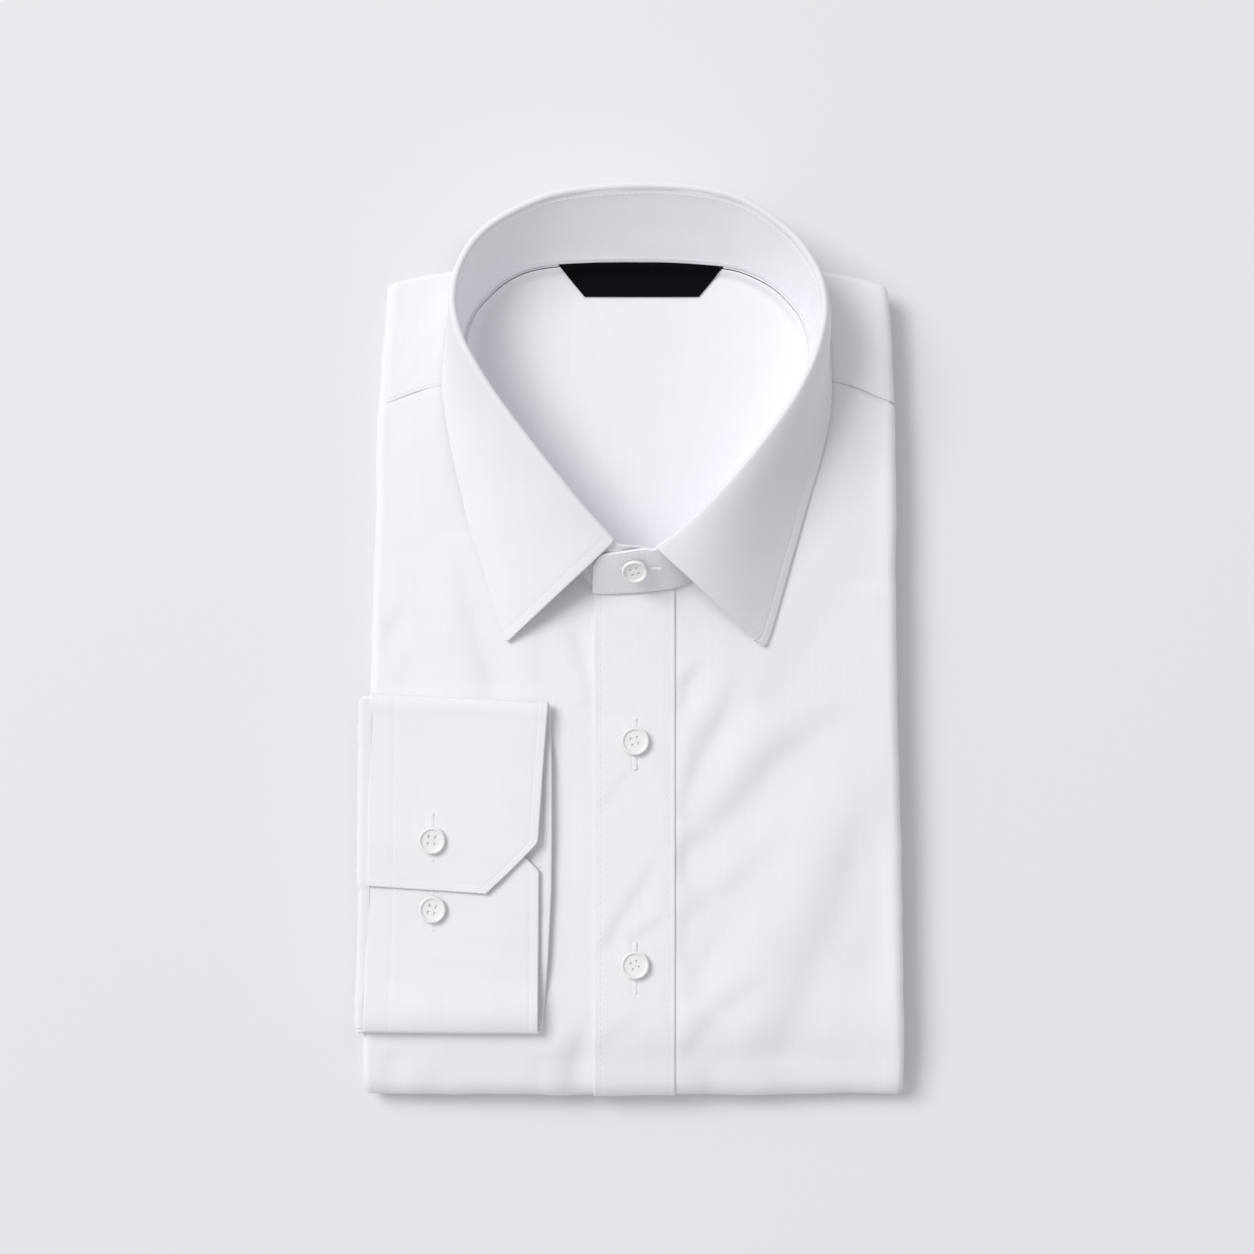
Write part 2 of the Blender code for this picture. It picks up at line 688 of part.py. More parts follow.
def core_turn(x, count):
    """The hidden layers' outline where the body turns under at the bottom fold."""
    half = top_z(x, TURN_Y) / 2
    clear = 2 * (CLOTH + GAP) + 0.1
    line = []
    for angle in spread(-90, 90, count):
        bend = math.radians(angle)
        y = TURN_Y - (TURN_DEPTH - clear) * math.cos(bend)
        line.append(Vector((x, y, half + (half - clear) * math.sin(bend))))
    return line


def make_core():
    """The hidden layers: back, far sleeve and side flaps in one rounded, layered body."""
    profiles = []

    def side_profiles(side, ys):
        for y in ys:
            place = Vector((side * half_width(side, y), y))
            slit = max(slit_at(side, near) for near in (y - 14, y, y + 6))
            height = read(BODY, "y", y, "edge")
            slack = CORE_SLACK * (4 if y == side_ys[0] else 1)
            profiles.append(core_profile(place, Vector((side, 0.0)), height, slit, slack))

    side_ys = (-143, -134, -120, -90, -60, -30, -8, 8, 30, 60, 90, 108)
    side_profiles(1, side_ys)
    for n in range(YOKE_LAST, YOKE_FIRST - 1, -1):
        row = NECK[n]
        edge = Vector((row["yoke_x"], row["yoke_y"]))
        out = (edge - Vector((row["seam_x"], row["seam_y"]))).normalized()
        profiles.append(core_profile(edge, out, top_z(edge.x, edge.y), SLIT, 3 * CORE_SLACK))
    side_profiles(-1, reversed(side_ys))
    count = len(profiles[0])
    profiles.extend(core_turn(x, count) for x in spread(-84, 84, 9))

    around = len(profiles)
    rings = [[Vector((p[0].x * 0.75, p[0].y * 0.75, CORE_FLOOR)) for p in profiles]]
    rings += [[profile[k] for profile in profiles] for k in range(count)]
    for share in (0.9, 0.78, 0.64, 0.5, 0.36, 0.2):
        ring = []
        for p in (profile[-1] for profile in profiles):
            ring.append(Vector((p.x * share, p.y * share, core_limit(p.x * share, p.y * share))))
        rings.append(ring)
    points = [p for ring in rings for p in ring]
    faces = []
    for i in range(len(rings) - 1):
        for j in range(around):
            after = (j + 1) % around
            corner = i * around
            faces.append((corner + j, corner + after, corner + around + after, corner + around + j))
    low = len(points)
    points += [Vector((0, 0, CORE_FLOOR)), Vector((0, 0, core_limit(0, 0)))]
    last = (len(rings) - 1) * around
    for j in range(around):
        after = (j + 1) % around
        faces.append((low, after, j))
        faces.append((low + 1, last + j, last + after))
    return make_object("folded_layers", points, faces, WHITE_COTTON)


def circle(radius, count, centre=(0.0, 0.0)):
    """Places round a circle."""
    turn = 2 * math.pi / count
    return [Vector((centre[0] + radius * math.cos(n * turn), centre[1] + radius * math.sin(n * turn)))
            for n in range(count)]


def make_button(name, width, place, tilt):
    """A four-hole button with a raised rim and a dished middle, its back on the given place."""
    radius = width / 2
    inner = radius - BUTTON_RIM
    rings = ((radius, 0.62, 0.38), (radius - 0.5, 1.0, 0.0), (inner, 1.0, 0.0),
             (inner - 0.8, 1.0 - BUTTON_DISH / BUTTON_THICK, 0.0))
    loops = [circle(r, 24) for r, high, low in rings]
    heights = [(high, low) for r, high, low in rings for n in range(24)]
    flat = HOLE_SPACING / 2
    for x, y in ((flat, flat), (-flat, flat), (-flat, -flat), (flat, -flat)):
        loops.append(circle(HOLE_WIDTH / 2, 8, (x, y)))
        heights += [(rings[-1][1], 0.0)] * 8
    places = [p for loop in loops for p in loop]
    edges = []
    start = 0
    for loop in loops:
        edges += [(start + n, start + (n + 1) % len(loop)) for n in range(len(loop))]
        start += len(loop)
    found = geometry.delaunay_2d_cdt(places, edges, [], 0, 1e-6)
    flat_points, triangles = found[0], found[2]
    hole_middles = [sum(loop, Vector((0.0, 0.0))) / len(loop) for loop in loops[4:]]

    def solid(triangle):
        middle = sum((flat_points[n] for n in triangle), Vector((0.0, 0.0))) / 3
        return all((middle - hole).length > HOLE_WIDTH * 0.45 for hole in hole_middles)

    kept = [tuple(t) for t in triangles if solid(t)]
    shift = len(flat_points)
    points = [Vector((p.x, p.y, heights[n][0] * BUTTON_THICK)) for n, p in enumerate(flat_points)]
    points += [Vector((p.x, p.y, heights[n][1] * BUTTON_THICK)) for n, p in enumerate(flat_points)]
    faces = kept + [tuple(n + shift for n in reversed(t)) for t in kept]
    start = 0
    for n, loop in enumerate(loops):
        if n == 0 or n > 3:
            for k in range(len(loop)):
                a = start + k
                b = start + (k + 1) % len(loop)
                faces.append((a, b, b + shift, a + shift))
        start += len(loop)
    turned = Matrix.Rotation(math.radians(tilt), 3, "X")
    points = [turned @ p + place for p in points]
    return make_object(name, points, faces, PEARL)


def make_buttons():
    """Two placket buttons, two on the cuff and one on the collar stand."""
    for n, y in enumerate(FRONT_BUTTON_Y, 1):
        place = Vector((0.0, y, top_z(0.0, y) + PLACKET_RISE + GAP))
        make_button("front_button_%d" % n, FRONT_BUTTON, place, 0.0)
    for n, (y, rise) in enumerate(zip(CUFF_BUTTON_Y, CUFF_BUTTON_RISE), 1):
        place = Vector((CUFF_BUTTON_X, y, top_z(CUFF_BUTTON_X, y) + rise + GAP))
        make_button("cuff_button_%d" % n, CUFF_BUTTON, place, 0.0)
    x, y = COLLAR_BUTTON_PLACE
    make_button("collar_button", COLLAR_BUTTON, Vector((x, y, COLLAR_BUTTON_Z)), COLLAR_BUTTON_TILT)


def main():
    for item in list(bpy.data.objects):
        bpy.data.objects.remove(item, do_unlink=True)
    make_core()
    make_cuff()
    make_sleeve()
    make_buttons()
    make_front("front_right", -1, (5, 4, 3, 2, 1, 0))
    make_front("front_left", 1, (25, 26, 27, 28, 29, 30))
    make_placket()
    make_yoke()
    make_yoke_facing()
    make_stand()
    make_leaf()
    make_label()


main()
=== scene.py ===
"""Looks of the folded dress shirt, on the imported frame.

Sizes are in millimetres and become metres where each mesh is made. +Y runs to the collar,
+X is to the right as seen from above, and the floor is at nought.
"""
import math

import bpy
import numpy as np
from mathutils import Matrix, Vector, geometry


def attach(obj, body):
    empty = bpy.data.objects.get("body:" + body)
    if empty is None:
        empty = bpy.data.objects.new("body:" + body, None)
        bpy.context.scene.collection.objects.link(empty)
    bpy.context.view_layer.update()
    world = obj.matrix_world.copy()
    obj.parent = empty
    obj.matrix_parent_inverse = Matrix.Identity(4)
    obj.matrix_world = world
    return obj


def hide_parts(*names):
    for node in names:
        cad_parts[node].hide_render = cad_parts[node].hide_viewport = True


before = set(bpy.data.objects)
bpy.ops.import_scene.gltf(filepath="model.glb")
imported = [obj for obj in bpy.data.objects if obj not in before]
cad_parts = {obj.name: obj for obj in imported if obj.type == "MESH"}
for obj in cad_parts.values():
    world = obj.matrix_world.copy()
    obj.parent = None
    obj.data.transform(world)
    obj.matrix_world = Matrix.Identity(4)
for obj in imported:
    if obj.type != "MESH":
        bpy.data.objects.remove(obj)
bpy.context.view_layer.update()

MM = 0.001

# The photograph's frame: its size, the scale at the fronts' height, and the shirt's place
PHOTO_WIDTH_PX = 1254
PHOTO_SCALE = 0.41
FRONT_HEIGHT = 22.0
CAMERA_HEIGHT = 1200.0
CAMERA_PLACE = (-3.28, 24.0)

# Cloth and clearances
SHELL = 0.55
PLACKET_SHELL = 0.88
YOKE_SHELL = 0.28
LABEL_SHELL = 0.45
COLLAR_SHELL = 1.1
CUFF_SHELL = 1.1
GAP = 0.3
PLACKET_RISE = 0.8

# The folded body
SIDE_RETURN = 10.0
FRONT_ROWS = 120
FRONT_COLUMNS = 62
FRONT_INNER_X = 0.2
FRONT_INNER_Y = (37.0, 18.0, 0.0)
FRONT_OUTER_Y = (120.5, 115.6, 106.0, 95.0, 83.0, 69.0, 52.0, 36.0, 8.0, -4.0)
SLIT = 0.4
TURN_SLIT = 1.2
SLEEVE_SLIT = 2.1
TURN_Y = -158.0
TURN_DEPTH = 11.6
HEM_Y = 148.0
BACK_END_Y = 140.0
LOWER_INSET = 2.0

# Cloth tucked in past the neck seam, and the place on the centre line that it runs towards
FRONT_TUCK = 1.2
FRONT_AIM_Y = 90.0
YOKE_TUCK = 0.8
YOKE_AIM_Y = 120.0
FACING_MIDDLE_Y = 118.0

# The placket
PLACKET_LEFT = -16.6
PLACKET_RIGHT = 16.0
PLACKET_TOP = 39.6
PLACKET_REACH = 17.4

# The collar
ROLL_WIDTH = 2.9
ROLL_TURN = 2.7
STAND_LIFT = 1.1

# The cuff and the sleeve behind it
CUFF_TOP = -5.5
CUFF_BOTTOM = -142.3
CUFF_SEAM_INSET = 0.9
SLEEVE_STAND_OFF = 2.1
SLEEVE_BEND = 2.6
SLEEVE_LIFT = 2.5
SLEEVE_TUCK = 8.0
SLEEVE_HALF = 1.65
SLEEVE_STEP_Y = -81.7
SLEEVE_PRESS = 0.62
SLEEVE_START = 86.0
SLEEVE_COLUMNS = 86

# The neck opening's floor and its label
FLOOR_Z = 13.6
LABEL_TOP_WIDTH = 69.6
LABEL_LOW_WIDTH = 47.0
LABEL_TOP_Y = 173.9
LABEL_X = 2.8
LABEL_DEPTH = 13.5

# Buttons
FRONT_BUTTON = 11.5
CUFF_BUTTON = 11.0
COLLAR_BUTTON = 10.6
BUTTON_THICK = 2.6
BUTTON_RIM = 1.55
HOLE_SPACING = 1.3
HOLE_RADIUS = 0.64
FRONT_BUTTON_Y = (-22.6, -114.2)
BUTTONHOLE_Y = (-23.9, -115.6)
CUFF_BUTTON_X = -82.8
CUFF_BUTTON_Y = (-63.1, -91.4)
CUFF_BUTTON_RISE = (6.3, 4.4)
COLLAR_BUTTON_PLACE = (-0.2, 47.3)
COLLAR_BUTTON_Z = 38.9
COLLAR_BUTTON_TILT = 36.0

# A button's rim: how far outside its hollow, and how high as a share of its thickness
BUTTON_PROFILE = (
    (0.10, 0.735), (0.26, 0.80), (0.45, 0.90), (0.66, 0.97), (0.9, 1.0), (1.1, 0.985),
    (1.3, 0.93), (1.45, 0.84), (1.55, 0.70), (1.55, 0.55), (1.45, 0.42), (1.15, 0.28),
    (0.55, 0.15))

# Stitching
STITCH_LENGTH = 2.0
STITCH_PITCH = 2.5
THREAD = 0.30

# How far inside an edge each seam lies
PLACKET_STITCH = 2.3
YOKE_STITCH = 1.6
LEAF_STITCH = 3.7
STAND_LOW_STITCH = 1.7
STAND_HIGH_STITCH = 1.9
STAND_END_STITCH = 1.6
CUFF_STITCH = 3.1
CUFF_SIDE_STITCH = 9.7


def columns(names, rows):
    """A table read by column name, each column an array."""
    keys = names.split()
    return {key: np.array([row[n] for row in rows], dtype=float) for n, key in enumerate(keys)}


# Half widths of the body and the height of its top, on the centre line and at the side
BODY = columns("y left right middle edge", (
    (-168, 112.2, 110.9, 17, 14.2),
    (-158, 112.1, 110.9, 18.6, 15),
    (-144, 111.9, 110.9, 22.4, 17.4),
    (-113, 110.8, 110.7, 23.6, 18),
    (0, 109, 108, 24.4, 18.4),
    (60, 107.4, 107.6, 24.2, 18.4),
    (88, 106.8, 107.4, 23.4, 18.2),
    (117, 105.8, 107, 22, 17.8),
    (148, 103.6, 105.2, 19, 17),
    (165, 101.6, 103.8, 16.8, 16.2),
    (180, 100, 102, 15.6, 15.6),
))

# The collar from its right front round the back to its left front
NECK = columns("seam_x seam_y roll_x roll_y roll_z edge_x edge_y edge_z", (
    (-14, 40, -8.1, 60, 47, -52.7, 17.9, 26.6),
    (-27.5, 55.5, -20.1, 73.2, 49.5, -58.1, 33.4, 26.2),
    (-39.7, 72, -32.4, 88.3, 51.5, -62.6, 48.9, 26),
    (-52.5, 90, -44.4, 103.5, 52.5, -69.1, 69.4, 25.6),
    (-63.5, 110, -56.8, 120.3, 53, -74.8, 94.7, 24.8),
    (-69, 125, -64.4, 132.7, 53, -78.5, 114.8, 23.8),
    (-70.7, 136.5, -68.4, 140.3, 52, -79.4, 127.2, 22.8),
    (-69.8, 145, -71.2, 149.5, 51, -77.6, 143.9, 21.6),
    (-68, 150.5, -72, 157.1, 50, -75.6, 158, 20.6),
    (-65.3, 155.4, -70.6, 166.8, 48, -72.6, 171, 18.6),
    (-60.4, 160.9, -65.5, 177.7, 47, -66.6, 180.4, 9),
    (-54.3, 166.3, -57.1, 186.2, 46.5, -57.8, 188.6, 5),
    (-45.7, 170.8, -44.7, 193.3, 46, -45.2, 196, 4),
    (-34.5, 173.2, -32.6, 198.1, 45.5, -32.8, 201, 3.2),
    (-19, 174.2, -18.6, 200.5, 45, -18.6, 203.6, 2.6),
    (-3.3, 174.5, -3.3, 201.7, 45, -3.3, 204.6, 2.4),
    (12, 174.3, 12, 201.7, 45, 12, 204.6, 2.6),
    (27.5, 173.4, 27.7, 200.1, 45.5, 27.8, 203, 3.2),
    (40.5, 172, 41.3, 196.4, 46, 41.7, 199.2, 4),
    (49.5, 168.8, 52.2, 190, 46.5, 53, 192.6, 5),
    (57.5, 164.2, 63, 181, 47, 64.2, 183.6, 9),
    (63.5, 158.6, 70.6, 170, 48, 72.8, 173.8, 17.6),
    (68, 152.8, 74, 160.5, 49.5, 76.4, 161.6, 20.6),
    (70.8, 146.5, 74.8, 151.3, 50, 78.2, 151, 21.2),
    (72.2, 139, 73.2, 142, 51, 79.8, 141, 22),
    (71.3, 127.5, 69.6, 131, 52, 80.8, 124.5, 23.2),
    (67.5, 111.5, 62.7, 117.4, 53, 79.8, 110.4, 24),
    (59, 94.5, 51.9, 101.9, 53, 75.2, 90, 24.9),
    (48, 76, 41.1, 88.3, 52.5, 69.3, 70, 25.5),
    (36, 60, 28.7, 74.4, 51.5, 63, 48, 26),
    (25.5, 47.5, 16.7, 63.2, 49, 57, 26, 26.2),
    (17.5, 41.4, 8.2, 57.2, 46.5, 53.2, 15.4, 26.6),
))

# Rows of the collar's table: the yoke's first and last, and the last of all
YOKE_FIRST = 5
YOKE_LAST = 25
NECK_LAST = 31

# The stand's ends past the leaf: the buttonhole end lies over the button end. With them the
# stand's table has 38 rows
STAND_LAST = 37
STAND_COLUMNS = "seam_x seam_y roll_x roll_y roll_z"
STAND_BUTTON_END = columns(STAND_COLUMNS, (
    (12.0, 44.6, 13.0, 55.6, 35.8),
    (0.0, 43.0, 3.0, 57.2, 40.6),
))
STAND_HOLE_END = columns(STAND_COLUMNS, (
    (4.0, 39.2, 2.0, 56.2, 45.0),
    (-6.0, 38.6, -6.0, 55.0, 44.2),
    (-14.0, 38.4, -13.6, 53.8, 42.4),
    (-16.9, 38.7, -16.7, 50.0, 37.8),
))

# The cuff's strip from its buttonhole end, over the top fold, beneath, over the bottom fold
# and in under its other end: place along Y, height over the front, and its right edge
CUFF = columns("y rise right", (
    (-83.4, 5.7, -61),
    (-73, 5.9, -50.4),
    (-63, 6, -40),
    (-48, 5.5, -38.9),
    (-30, 4.8, -37.7),
    (-14, 4.6, -36.5),
    (-7.6, 4.6, -36),
    (-6.1, 4, -35.9),
    (-5.5, 2.5, -35.8),
    (-6.1, 1, -35.4),
    (-7.6, 0.4, -35.2),
    (-30, 0.4, -34.5),
    (-60, 0.4, -34.4),
    (-84, 0.4, -34.6),
    (-112, 0.4, -36),
    (-140.2, 0.4, -38.4),
    (-141.7, 1, -38.8),
    (-142.3, 2.4, -39.4),
    (-141.7, 3.8, -40),
    (-140.2, 4.4, -40.1),
    (-120, 4.3, -40),
    (-96, 4, -39.8),
    (-84, 3.8, -39.7),
    (-75.6, 3.8, -39.6),
    (-65, 3.8, -50.2),
    (-54.4, 3.8, -61),
))
# Creases of the fronts: depth, width, how far the cloth stands up beside it, and the places
# along its steep side, which is on the left of its way
CREASES = (
    (1.05, 4.1, 0.45, ((15.2, -2.6), (21.7, 4.3), (29.1, 12.5))),
    (1.50, 5.3, 0.4, ((16, -49.3), (22.5, -34.6), (27.4, -23.1),
                     (33.2, -12.9), (38.1, -1), (41.4, 18.7))),
    (2.15, 8.5, 0.4, ((13.5, -67.4), (26.6, -58.7), (37.7, -49.3), (46.3, -39.5),
                     (53.7, -30.5), (62.7, -23.1), (72.5, -16.6), (84.8, -10.8), (97.1, -1.8))),
    (1.15, 8.1, 0.25, ((13.5, -96), (26.6, -87.8), (37.7, -82.5),
                     (46.3, -74.7), (53.7, -67.4), (58.6, -58.3), (62.7, -45.2))),
    (0.84, 6.3, 0.25, ((21.7, -124.7), (26.6, -112.4), (33.2, -100.1), (41.4, -89.9))),
    (1.30, 6.3, 0.4, ((21.7, -147.2), (29.9, -135.8),
                     (38.9, -128), (47.9, -122.2), (56.1, -112.4))),
    (2.50, 12.5, 0.3, ((54.5, -149.3), (62.7, -130.8), (68.4, -115.7), (75, -102.2),
                     (79.1, -89.9), (82.3, -76.4), (86, -62.4), (91.3, -50.1), (97.9, -40.3))),
    (0.30, 6.0, 0.2, ((86.4, -71.4), (91.3, -57.5), (95.4, -46.9))),
    (1.15, 13.3, 0.2, ((52.8, -1.8), (63.5, 18.7), (75.8, 35.1), (88.1, 45.3), (102, 53.1))),
    (0.84, 14.0, 0.2, ((84.8, 51.4), (88.9, 76), (95.4, 96.5), (102, 112.9))),
    (0.50, 9.0, 0.3, ((43.0, -153.0), (51.2, -141.1), (57.8, -128.8))),
    (0.64, 9.4, 0.2, ((84, -153.4), (88.9, -128.8), (93, -104.2), (97.1, -79.6))),
    (0.53, 6.3, 0.2, ((26.6, -159.5), (35.6, -150.1), (44.6, -145.2))),
    (1.12, 5.2, 0.35, ((-60.2, -5.9), (-64.3, 10.5), (-69.2, 26.9), (-73.3, 45.3), (-76.6, 63.7))),
    (0.68, 3.9, 0.35, ((-106.1, 18.7), (-100.4, 26.9), (-91.4, 32.6))),
    (0.45, 4.2, 0.25, ((-40.6, -5.9), (-41.4, 10.5), (-43, 22.8))),
    (0.90, 3.9, 0.4, ((-17.6, -1.8), (-21.7, 8.8), (-27.4, 22), (-32.4, 32.6))),
    (0.83, 6.5, 0.25, ((-30.7, -30.5), (-25.8, -46.9), (-24.2, -71.4), (-25.8, -100.1))),
    (1.27, 5.5, 0.45, ((-32.4, -168.1), (-28.3, -155.8), (-23.4, -144.4), (-18.4, -128.8))),
    (0.53, 3.4, 0.35, ((-47.1, -163.2), (-40.6, -155.8), (-35.6, -149.3))),
    (0.68, 3.9, 0.4, ((-88.9, -162.4), (-79.9, -157.5), (-70.9, -159.9))),
    (0.45, 3.9, 0.3, ((-107.7, -159.1), (-101.2, -153.4), (-94.6, -149.3))),
    (0.60, 10.4, 0.2, ((-79.9, 67.8), (-83.2, 88.3), (-88.1, 104.7), (-95.5, 115.4))),
    (0.45, 6.5, 0.2, ((-97.9, -1.8), (-94.6, 10.5), (-86.4, 18.7))),
)

# Creases of the placket strip
PLACKET_CREASES = (
    (0.53, 3.1, 0.4, ((-11.9, -104.2), (-6.1, -93.6),
                     (-0.4, -84.6), (5.3, -74.7), (10.2, -64.1))),
    (0.43, 2.6, 0.4, ((0.4, -102.6), (8.6, -96.8), (15.2, -91.1))),
    (0.25, 3.9, 0.3, ((-14.3, 18.7), (-4.1, 13.8), (8.2, 9.7))),
    (0.30, 3.6, 0.3, ((-12.7, -145.2), (-2.9, -137), (6.1, -133.7))),
    (0.28, 3.4, 0.3, ((-12.7, -46.9), (-7, -38.7), (-2.9, -34.6))),
    (0.28, 3.4, 0.3, ((3.7, -34.6), (8.6, -41.1), (13.5, -50.1))),
    (0.25, 3.4, 0.3, ((-12.7, -5.9), (-7, -10.8), (-2.9, -15.7))),
)


def join(*parts):
    """Arrays one after another."""
    return np.concatenate(parts)


def hermite(keys, values, count):
    """A smooth curve through values at rising keys, read at count even steps."""
    keys = np.asarray(keys, dtype=float)
    values = np.asarray(values, dtype=float)
    slopes = np.gradient(values, keys)
    at = np.linspace(keys[0], keys[-1], count)
    start = np.clip(np.searchsorted(keys, at, side="right") - 1, 0, len(keys) - 2)
    span = keys[start + 1] - keys[start]
    t = (at - keys[start]) / span
    curve = values[start] + (values[start + 1] - values[start]) * (3 * t ** 2 - 2 * t ** 3)
    curve += slopes[start] * (t ** 3 - 2 * t ** 2 + t) * span
    curve += slopes[start + 1] * (t ** 3 - t ** 2) * span
    return at, curve


FINE_STEPS = 2000
CUFF_STEPS = 4000
BODY_CURVES = {key: hermite(BODY["y"], BODY[key], FINE_STEPS)
               for key in ("left", "right", "middle", "edge")}


def body(column, y):
    """One column of the body's table at any place along Y."""
    return np.interp(y, *BODY_CURVES[column])


def table_at(table, at):
    """Every column of a table on a smooth curve, read at places counted in rows."""
    made = {}
    for key, values in table.items():
        dense, curve = hermite(np.arange(len(values)), values, FINE_STEPS)
        made[key] = np.interp(at, dense, curve)
    return made


def smooth_step(low, high, value):
    """Nought below low, one above high, with a soft change between them."""
    t = np.clip((np.asarray(value, dtype=float) - low) / (high - low), 0.0, 1.0)
    return t * t * (3 - 2 * t)


def mix(first, last, share):
    """Part of the way from first to last."""
    return first + (last - first) * share


def stack(x, y, z):
    """Points from their coordinates."""
    return np.stack(np.broadcast_arrays(x, y, z), axis=-1).astype(float)


def length(vectors):
    """The length of each vector."""
    return np.linalg.norm(vectors, axis=-1)


def unit(vectors):
    """Vectors of length one."""
    return vectors / np.maximum(length(vectors)[..., None], 1e-9)


def distances(line):
    """How far along a line each of its points lies."""
    return join([0], np.cumsum(length(np.diff(line, axis=0))))


def read_line(at, run, line):
    """Places on a line at distances along it, its points lying at the distances in run."""
    return np.stack([np.interp(at, run, values) for values in line.T], axis=-1)


def ridge(distance, width):
    """A soft rise of height one where the distance is nought, falling off within the width."""
    return np.exp(-(distance / width) ** 2)


def waves(x, y, seed, size):
    """Soft unevenness between about -1 and 1, its bumps about size apart."""
    total = np.zeros(np.broadcast(x, y).shape)
    turn = np.random.default_rng(seed)
    for n in range(7):
        angle = turn.uniform(0, math.pi)
        pitch = size * turn.uniform(0.6, 1.7)
        phase = turn.uniform(0, 2 * math.pi)
        across = x * math.cos(angle) + y * math.sin(angle)
        bent = across + pitch * 0.25 * np.sin((x - y) / pitch * 0.7 + phase)
        total += np.sin(bent * 2 * math.pi / pitch + phase)
    return total / 4.0


def rumple(x, y, *layers):
    """Soft unevenness in several sizes: each layer has its height, seed and size."""
    return sum(height * waves(x, y, seed, size) for height, seed, size in layers)


def crease_relief(table, x, y):
    """How creases move the cloth up and down at each place."""
    x, y = np.broadcast_arrays(np.asarray(x, dtype=float), np.asarray(y, dtype=float))
    relief = np.zeros(x.shape)
    for depth, width, stands_up, places in table:
        places = np.array(places)
        places = np.vstack([places[0] - 0.5 * (places[1] - places[0]), places])
        keys = np.arange(len(places))
        steps = 8 * (len(places) - 1)
        line = np.stack([hermite(keys, values, steps + 1)[1] for values in places.T], axis=1)
        best = np.full(x.shape, 1e9)
        along = np.zeros(x.shape)
        side = np.zeros(x.shape)
        for k in range(steps):
            start = line[k]
            run = line[k + 1] - start
            share = ((x - start[0]) * run[0] + (y - start[1]) * run[1]) / (run @ run)
            held = np.clip(share, 0, 1)
            dx = x - start[0] - held * run[0]
            dy = y - start[1] - held * run[1]
            far = np.hypot(dx, dy)
            near = far < best
            best = np.where(near, far, best)
            along = np.where(near, (k + held) / steps, along)
            side = np.where(near, np.sign(run[1] * dx - run[0] * dy), side)
        fade = smooth_step(0.0, 0.15, along) * (1 - smooth_step(0.55, 1.0, along))
        reach = width * (0.7 + 0.3 * fade)
        across = best * side
        bed = across - 0.75 * reach
        trough = ridge(bed, np.where(bed < 0, 0.95 * reach, 2.1 * reach))
        relief += depth * fade * (stands_up * ridge(across + 1.15 * reach, 1.35 * reach) - trough)
    return relief


def half_width(x, y):
    """The body's half width on the side where x lies."""
    return np.where(np.asarray(x) < 0, body("left", y), body("right", y))


def crown_z(x, y):
    """Height of the folded body's upper face without creases."""
    share = np.minimum(np.abs(x) / half_width(x, y), 1.0)
    edge = body("edge", y)
    return edge + (body("middle", y) - edge) * (1 - share ** 2)


def slit_at(side, y):
    """Half height of the slit between the two halves of the fold."""
    slit = mix(TURN_SLIT, SLIT, smooth_step(TURN_Y + 2, TURN_Y + 12, y))
    if side < 0:
        inside = smooth_step(CUFF_BOTTOM - 9, CUFF_BOTTOM - 2, y)
        inside = inside * (1 - smooth_step(CUFF_TOP + 2, CUFF_TOP + 12, y))
        slit = mix(slit, SLEEVE_SLIT, inside)
    return slit


def lay(x, depth, y, turn, height):
    """Place of folded cloth: its depth under the outer face, and its turn round the fold."""
    half = height / 2
    reach = half - depth
    angle = np.radians(turn)
    share = reach / half
    out = TURN_DEPTH * np.where(share > 0.9, share, 0.9 - 0.3 * (0.9 - share)) * np.cos(angle)
    out = out * (1 + 0.035 * waves(x, 0.0, 175, 34.0))
    return stack(x, y - out, half + reach * np.sin(angle))


def grid_normals(points):
    """The normal at each point of a grid."""
    return unit(np.cross(np.gradient(points, axis=0), np.gradient(points, axis=1)))


def add_object(name, data):
    """An object in the scene."""
    made = bpy.data.objects.new(name, data)
    bpy.context.scene.collection.objects.link(made)
    return made


def new_mesh(name, points, faces, look, sharp=50):
    """A mesh piece from points in millimetres."""
    mesh = bpy.data.meshes.new(name)
    mesh.from_pydata((np.asarray(points) * MM).tolist(), [], [list(map(int, f)) for f in faces])
    mesh.update()
    mesh.materials.append(look)
    mesh.shade_smooth()
    mesh.set_sharp_from_angle(angle=math.radians(sharp))
    return add_object(name, mesh)


def quads(rows, across, shift=0, flip=False):
    """The faces of a grid."""
    i, j = np.meshgrid(np.arange(rows - 1), np.arange(across - 1), indexing="ij")
    corner = (i * across + j + shift).ravel()
    faces = np.stack([corner, corner + 1, corner + across + 1, corner + across], axis=1)
    return faces[:, ::-1] if flip else faces


def band(first, last, flip=False):
    """The quads between two closed rings of points."""
    faces = np.stack([first, last, np.roll(last, -1), np.roll(first, -1)], axis=1)
    return faces[:, [0, 3, 2, 1]] if flip else faces


